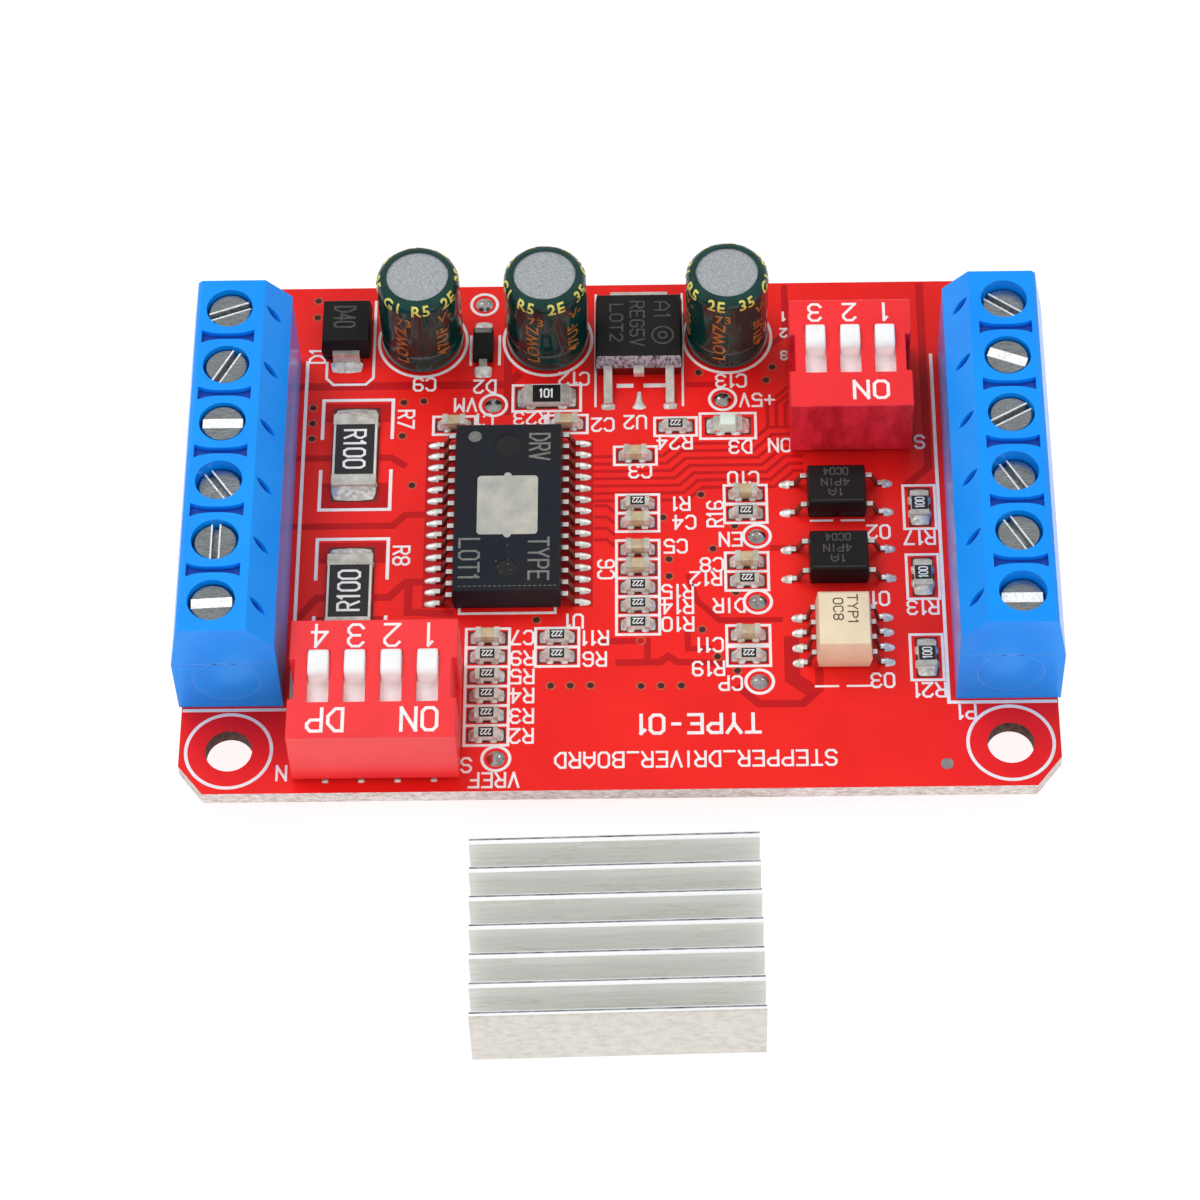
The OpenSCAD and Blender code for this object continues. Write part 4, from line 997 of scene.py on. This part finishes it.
def part_marks():
    """Generic marks on the moulded parts."""
    laser, faint, brown, code, ink, dark = (bmesh.new() for _ in range(6))
    low, high = box_of("driver_chip_body")
    cx, cy = (low.x + high.x) / 2, (low.y + high.y) / 2
    mark = mark_on(laser, high.z, 0.17)
    mark.words("DRV", cx + 2.3, cy + 5.15, 1.4, -90, 2.3)
    mark.words("TYPE", cx + 2.3, cy - 4.7, 1.4, -90, 3.6)
    mark.words("LOT1", cx - 2.7, cy - 4.7, 1.4, -90, 3.5)
    prism(laser, circle(low.x + 1.475, high.y - 1.4, 0.49, 40), high.z - 0.06, high.z - 0.04)
    # Painted highlight in short dashes along the front edge of the chip's top, and the ejector marks with
    # dust in the front one
    for i in range(20):
        mark.line([(low.x + 0.5 + i * 0.36, low.y + 0.51), (low.x + 0.66 + i * 0.36, low.y + 0.51)], 0.05)
    for y, r in ((high.y - 2.2, 0.93), (low.y + 2.1, 0.73)):
        prism(dark, circle(cx, y, r, 40), high.z - 0.059, high.z - 0.05)
    for x, y in ((-0.62, 0.1), (-0.4, -0.35), (0.1, 0.3), (0.3, -0.2), (-0.75, 0.55), (0.15, 0.75),
                 (0.05, 1.9)):
        prism(laser, circle(cx + x, low.y + 2.1 + y, 0.045, 10), high.z - 0.052, high.z + 0.004)
    low, high = box_of("regulator_body")
    mark = mark_on(faint, high.z, 0.13)
    mark.words("A1", high.x - 1.45, high.y - 1.75, 1.1, -90, 1.5)
    mark.words("REG5V", high.x - 3.35, high.y - 3.0, 1.0, -90, 4.1)
    mark.words("LOT2", high.x - 4.9, high.y - 2.9, 0.9, -90, 3.4)
    mark.ring(high.x - 1.45, high.y - 4.1, 0.78, 0.13)
    mark.ring(high.x - 1.45, high.y - 4.1, 0.3, 0.13, 24)
    for centre, size in islands("optocoupler_black_bodies"):
        z = centre.z + size.z / 2
        mark = mark_on(faint, z, 0.1)
        mark.words("OC04", centre.x - 0.05, centre.y + 1.05, 0.6, 180, 1.75)
        mark.words("4PIN", centre.x - 0.1, centre.y + 0.1, 0.6, 180, 2.0)
        mark.words("1A", centre.x - 0.1, centre.y - 0.8, 0.6, 180, 0.95)
        # Painted highlight along the front edge of the top
        mark.line([(centre.x - size.x / 2 + 0.3, centre.y - size.y / 2 + 0.3),
                   (centre.x + size.x / 2 - 0.3, centre.y - size.y / 2 + 0.3)], 0.05)
    low, high = box_of("optocoupler_cream_body")
    mark = mark_on(brown, high.z, 0.1)
    for text, dx in (("OC8", -0.42), ("TYP1", 0.62)):
        mark.words(text, (low.x + high.x) / 2 + dx, high.y - 1.9, 0.66, -90, 0.6 * len(text))
    for centre, size in islands("diode_bodies"):
        z = centre.z + size.z / 2
        if size.x > 3:
            mark = mark_on(faint, z, 0.16)
            mark.words("D40", centre.x - 0.1, centre.y + 0.3, 1.5, -90, 1.9)
        else:
            slab(laser, centre.x - 0.62, centre.y + 0.75, centre.x + 0.62, centre.y + 1.15,
                 z + MARK_LO, z + MARK_HI)
    # Black coats and value codes of the resistors
    coat = bmesh.new()
    for centre, size in islands("resistor_bodies"):
        top = centre.z + size.z / 2
        long_x = size.x > size.y
        length = max(size.x, size.y)
        across = min(size.x, size.y)
        band = 0.9 if length > 5 else (0.55 if length > 3 else (0.4 if length > 1.9 else 0.27))
        half = length / 2 - band - 0.01
        wide = across / 2 - (0.17 if length > 5 else 0.03)
        mx, my = (half, wide) if long_x else (wide, half)
        slab(coat, centre.x - mx, centre.y - my, centre.x + mx, centre.y + my, top, top + 0.055)
        mark = Ink(code, top + 0.056, top + 0.062, 0.2)
        if length > 5:
            mark.words("R100", centre.x, centre.y, 1.5, -90 if centre.y > 0 else 90, 3.4, 0.19)
        elif length > 3:
            mark.words("101", centre.x, centre.y, 0.72, 0, 0.95, 0.12)
        elif long_x:
            mark.words("222", centre.x, centre.y, 0.44, 180, 0.72, 0.07)
        else:
            mark.words("100", centre.x, centre.y, 0.62, 90, 0.85, 0.09)
    on_board("chip_marks", laser, "laser")
    on_board("ejector_marks", dark, "chip_dark")
    on_board("faint_marks", faint, "faint")
    on_board("cream_marks", brown, "brown_ink")
    on_board("resistor_coats", coat, "black_coat")
    on_board("value_codes", code, "code")
    # Digits and words on the two switch banks: words, offset from the middle, width
    for k, count, tall, words in ((4, 4, 1.8, (("ON", 3.32, 2.45), ("DP", -3.2, 2.45))),
                                  (3, 3, 1.5, (("ON", 1.4, 2.45),))):
        low, high = box_of(f"switch{k}_cover")
        mark = mark_on(ink, high.z, 0.24)
        for i in range(1, count + 1):
            slider = box_of(f"switch{k}_slider_{i}")
            mark.words(str(i), (slider[0].x + slider[1].x) / 2, high.y - 0.42 - tall / 2, tall,
                       weight=0.2)
        for text, dx, width in words:
            mark.words(text, (low.x + high.x) / 2 + dx, low.y + 1.45, tall, 180, width)
    on_board("switch_marks", ink, "switch_ink")


# Directions of the screw slots, in degrees, from the back
SLOT_TURNS = {"left": (20, 62, 0, -55, 90, 3), "right": (-36, -21, 30, -60, -60, 0)}

# Screws whose slots catch the light
GLINTS = (("left", 3), ("left", 6), ("right", 2), ("right", 6))


def terminal_marks():
    """Painted shade on the walls and floors of the screw slots, painted highlights on their edges, and the
    moulding marks on the blocks' end faces.
    """
    for name, turns in SLOT_TURNS.items():
        for i, turn in enumerate(turns, 1):
            node = f"terminal_screw_{name}_{i}"
            low, high = box_of(node)
            place = (Matrix.Translation(mm((low.x + high.x) / 2, (low.y + high.y) / 2, high.z))
                     @ Matrix.Rotation(math.radians(turn), 4, "Z"))
            bright = (name, i) in GLINTS
            half, top = (1.42, -0.25) if bright else (1.5, -0.06)
            # Painted shade lines each slot; painted highlights sit on its edges, and fill its top where the
            # slot glints
            bars = {"walls": ([(-0.28, 0.28, -0.69, -0.67), (-0.298, -0.28, -0.69, top),
                               (0.28, 0.298, -0.69, top)],
                              "slot_shade"),
                    "edges": ([(-0.4, 0.4, -0.25, 0.004)] if bright else
                              [(-0.35, -0.24, -0.06, 0.004), (0.24, 0.35, -0.06, 0.004)],
                              "slot_glint" if bright else "slot_edge_highlight")}
            for kind, (sizes, material) in bars.items():
                bm, bar = bmesh.new(), bmesh.new()
                for y0, y1, z0, z1 in sizes:
                    slab(bar, -half, y0, half, y1, z0, z1)
                lay(bm, bar, place)
                on_node(node, f"slot_{kind}_{name}_{i}", bm, material)
    bm = bmesh.new()
    for name in ("left", "right"):
        low, high = box_of(f"terminal_housing_{name}")
        for y, inside in ((low.y, 0.01), (high.y, -0.04)):
            mark = bmesh.new()
            ring(mark, 0, 0, 2.31, 2.39, 0, 0.03)
            slab(mark, -3.6, 2.21, 3.6, 2.29, 0, 0.03)
            lay(bm, mark, Matrix.Translation(mm((low.x + high.x) / 2, y + inside + 0.03, TOP + 3.3))
                @ Matrix.Rotation(math.radians(90), 4, "X"))
    on_node("terminal_housing_left", "end_marks", bm, "blue_light")


def shaded_floors():
    """Painted shade: a dark floor sheet in each slanted slit and each bow tie notch of the terminal blocks.
    """
    bm = bmesh.new()
    block_top = box_of("terminal_housing_left")[1].z
    slope = math.atan2(SLOPE_DROP, SLOPE_RUN)
    for side, name in ((1, "left"), (-1, "right")):
        for i in range(1, 7):
            low, high = box_of(f"terminal_screw_{name}_{i}")
            lens = bmesh.new()
            steps = [k / 6 for k in range(-6, 7)]
            edge = [(0.89 * t, 0.31 * (1 - t * t)) for t in steps]
            prism(lens, edge + [(x, -y) for x, y in edge[-2:0:-1]], -0.34, -0.3)
            place = (Matrix.Translation(mm((low.x + high.x) / 2, (low.y + high.y) / 2, 0))
                     @ Matrix.Diagonal((side, 1, 1, 1))
                     @ Matrix.Translation(mm(SLIT_X, -0.05, block_top - 0.37 * SLOPE_DROP))
                     @ Matrix.Rotation(slope, 4, "Y") @ Matrix.Rotation(math.radians(-26), 4, "Z"))
            lay(bm, lens, place)
            if i == 6:
                continue
            # Half way to the next screw
            x, y = (low.x + high.x) / 2, (low.y + box_of(f"terminal_screw_{name}_{i + 1}")[1].y) / 2
            half = [(1.9 * t, 0.25 + 0.325 * abs(t) ** 3) for t in steps]
            prism(bm, [(x + a, y - b) for a, b in half] + [(x - a, y + b) for a, b in half],
                  block_top - 0.45, block_top - 0.4)
    on_node("terminal_housing_left", "shaded_floors", bm, "blue_shade")


def wrapped(bm, words, centre, radius, top, angle, z, height, turn=0):
    """Words bent round a sleeve and over its rounded shoulder. Angle 0 faces -Y."""
    shoulder = 0.74
    mesh, wide, tall = text_mesh(words)
    scale = height / tall
    other = bmesh.new()
    other.from_mesh(mesh)
    # Cut into small squares, so that the letters bend with the sleeve
    for axis, reach in ((0, wide), (1, tall)):
        count = math.ceil(reach / 0.2)
        for k in range(1, count):
            place, direction = Vector((0, 0, 0)), Vector((0, 0, 0))
            place[axis], direction[axis] = reach * (k / count - 0.5), 1
            bmesh.ops.bisect_plane(other, geom=other.verts[:] + other.edges[:] + other.faces[:],
                                   plane_co=place, plane_no=direction)
    spin = Matrix.Rotation(math.radians(turn), 3, "Z")
    for v in other.verts:
        flat = spin @ Vector((v.co.x * scale, v.co.y * scale, 0))
        a = angle + flat.x / radius
        lift = 0.008 + (0.016 if v.co.z > 0 else 0)
        up = z + flat.y - (top - shoulder)
        bend = min(max(0, up / shoulder), 1.5)
        r = radius - shoulder + (shoulder + lift) * math.cos(bend)
        height_at = top - shoulder + (up if up < 0 else (shoulder + lift) * math.sin(bend))
        v.co = mm(centre.x + r * math.sin(a), centre.y - r * math.cos(a), height_at)
    lay(bm, other)
    bpy.data.meshes.remove(mesh)


def capacitor_marks():
    gold, dull = bmesh.new(), bmesh.new()
    for index, (centre, size) in enumerate(islands("capacitor_sleeves")):
        radius = size.x / 2
        base = centre.z - size.z / 2
        high = centre.z + size.z / 2
        for k in range(8):
            words = ("R5", "2E", "35", "G1")[(k + index) % 4]
            wrapped(gold, words, centre, radius, high, k * 0.785 + 0.1 + index * 0.2, high - 0.5, 0.95)
        for k in range(6):
            start = k * 1.047 - 0.45 + index * 0.12
            wrapped(dull, ("LOWZ", "47UF")[k % 2], centre, radius, high, start, base + 3.2, 1.0, 90)
            wrapped(dull, ("73", "V-")[k % 2], centre, radius, high, start + 0.1, high - 1.9, 0.9)
    on_board("sleeve_marks", gold, "gold_ink")
    on_board("sleeve_text", dull, "dull_gold")


def fin_edges():
    """Painted shade: a dark, ragged strip along the back edge of each fin's tip on the heatsink."""
    top = box_of("heatsink")[1].z
    along = heatsink_front()[1]
    across = Vector((-along.y, along.x))
    tips = [v.co.xy / MM for v in NODES["heatsink"].data.vertices if v.co.z / MM > top - 0.01]
    rows = []
    for place in sorted(tip.dot(across) for tip in tips):
        if not rows or place - rows[-1] > 0.05:
            rows.append(place)
    ends = [min(tip.dot(along) for tip in tips) + 0.03, max(tip.dot(along) for tip in tips) - 0.03]
    bm = bmesh.new()
    for row in rows[1::2]:
        corners = [(end, row - back) for end, back in zip(ends + ends[::-1], (0.14, 0.14, 0.01, 0.01))]
        prism(bm, [along * s + across * t for s, t in corners], top - 0.02, top + 0.003)
    on_node("heatsink", "fin_edges", bm, "fin_tip_shade")


# ---------------------------------------------------------------- the CAD nodes' own finish

# Material and bevel of the board's nodes
NODE_FINISHES = {
    "circuit_board": ("board",), "terminal_contacts": ("brass",), "switch_contacts": ("tin",),
    "capacitor_cans": ("can",), "capacitor_sleeves": ("sleeve",), "capacitor_bungs": ("rubber",),
    "capacitor_leads": ("tin",), "driver_chip_body": ("chip", 0.05), "driver_chip_leads": ("leads", 0.03),
    "heat_slug": ("slug",), "regulator_body": ("regulator", 0.08), "regulator_leads": ("tin", 0.05),
    "resistor_bodies": ("alumina",), "ceramic_capacitor_bodies": ("ceramic", 0.04),
    "chip_end_caps": ("tin",), "diode_bodies": ("epoxy", 0.06), "diode_leads": ("tin",),
    "optocoupler_black_bodies": ("opto", 0.06), "optocoupler_cream_body": ("cream", 0.06),
    "optocoupler_leads": ("leads", 0.03), "indicator_led": ("led", 0.05), "solder_joints": ("joint",),
    "heatsink": ("heatsink", 0.02)}


def finish_nodes():
    for side in ("left", "right"):
        finish_node(f"terminal_housing_{side}", "blue")
        for i in range(1, 7):
            finish_node(f"terminal_screw_{side}_{i}", "screw")
            finish_node(f"clamp_cage_{side}_{i}", "cage")
    for ways in (4, 3):
        finish_node(f"switch{ways}_cover", f"red{ways}", 0.06, holed=True)
        finish_node(f"switch{ways}_base", "dark_red")
    for ways in (4, 3):
        for i in range(1, ways + 1):
            finish_node(f"switch{ways}_slider_{i}", "white", 0.18)
    for name, finish in NODE_FINISHES.items():
        finish_node(name, *finish)


make_materials()
make_camera()
make_stage()
finish_nodes()
copper_gaps()
silkscreen()
vias()
solder_detail()
part_marks()
capacitor_marks()
shaded_floors()
terminal_marks()
fin_edges()
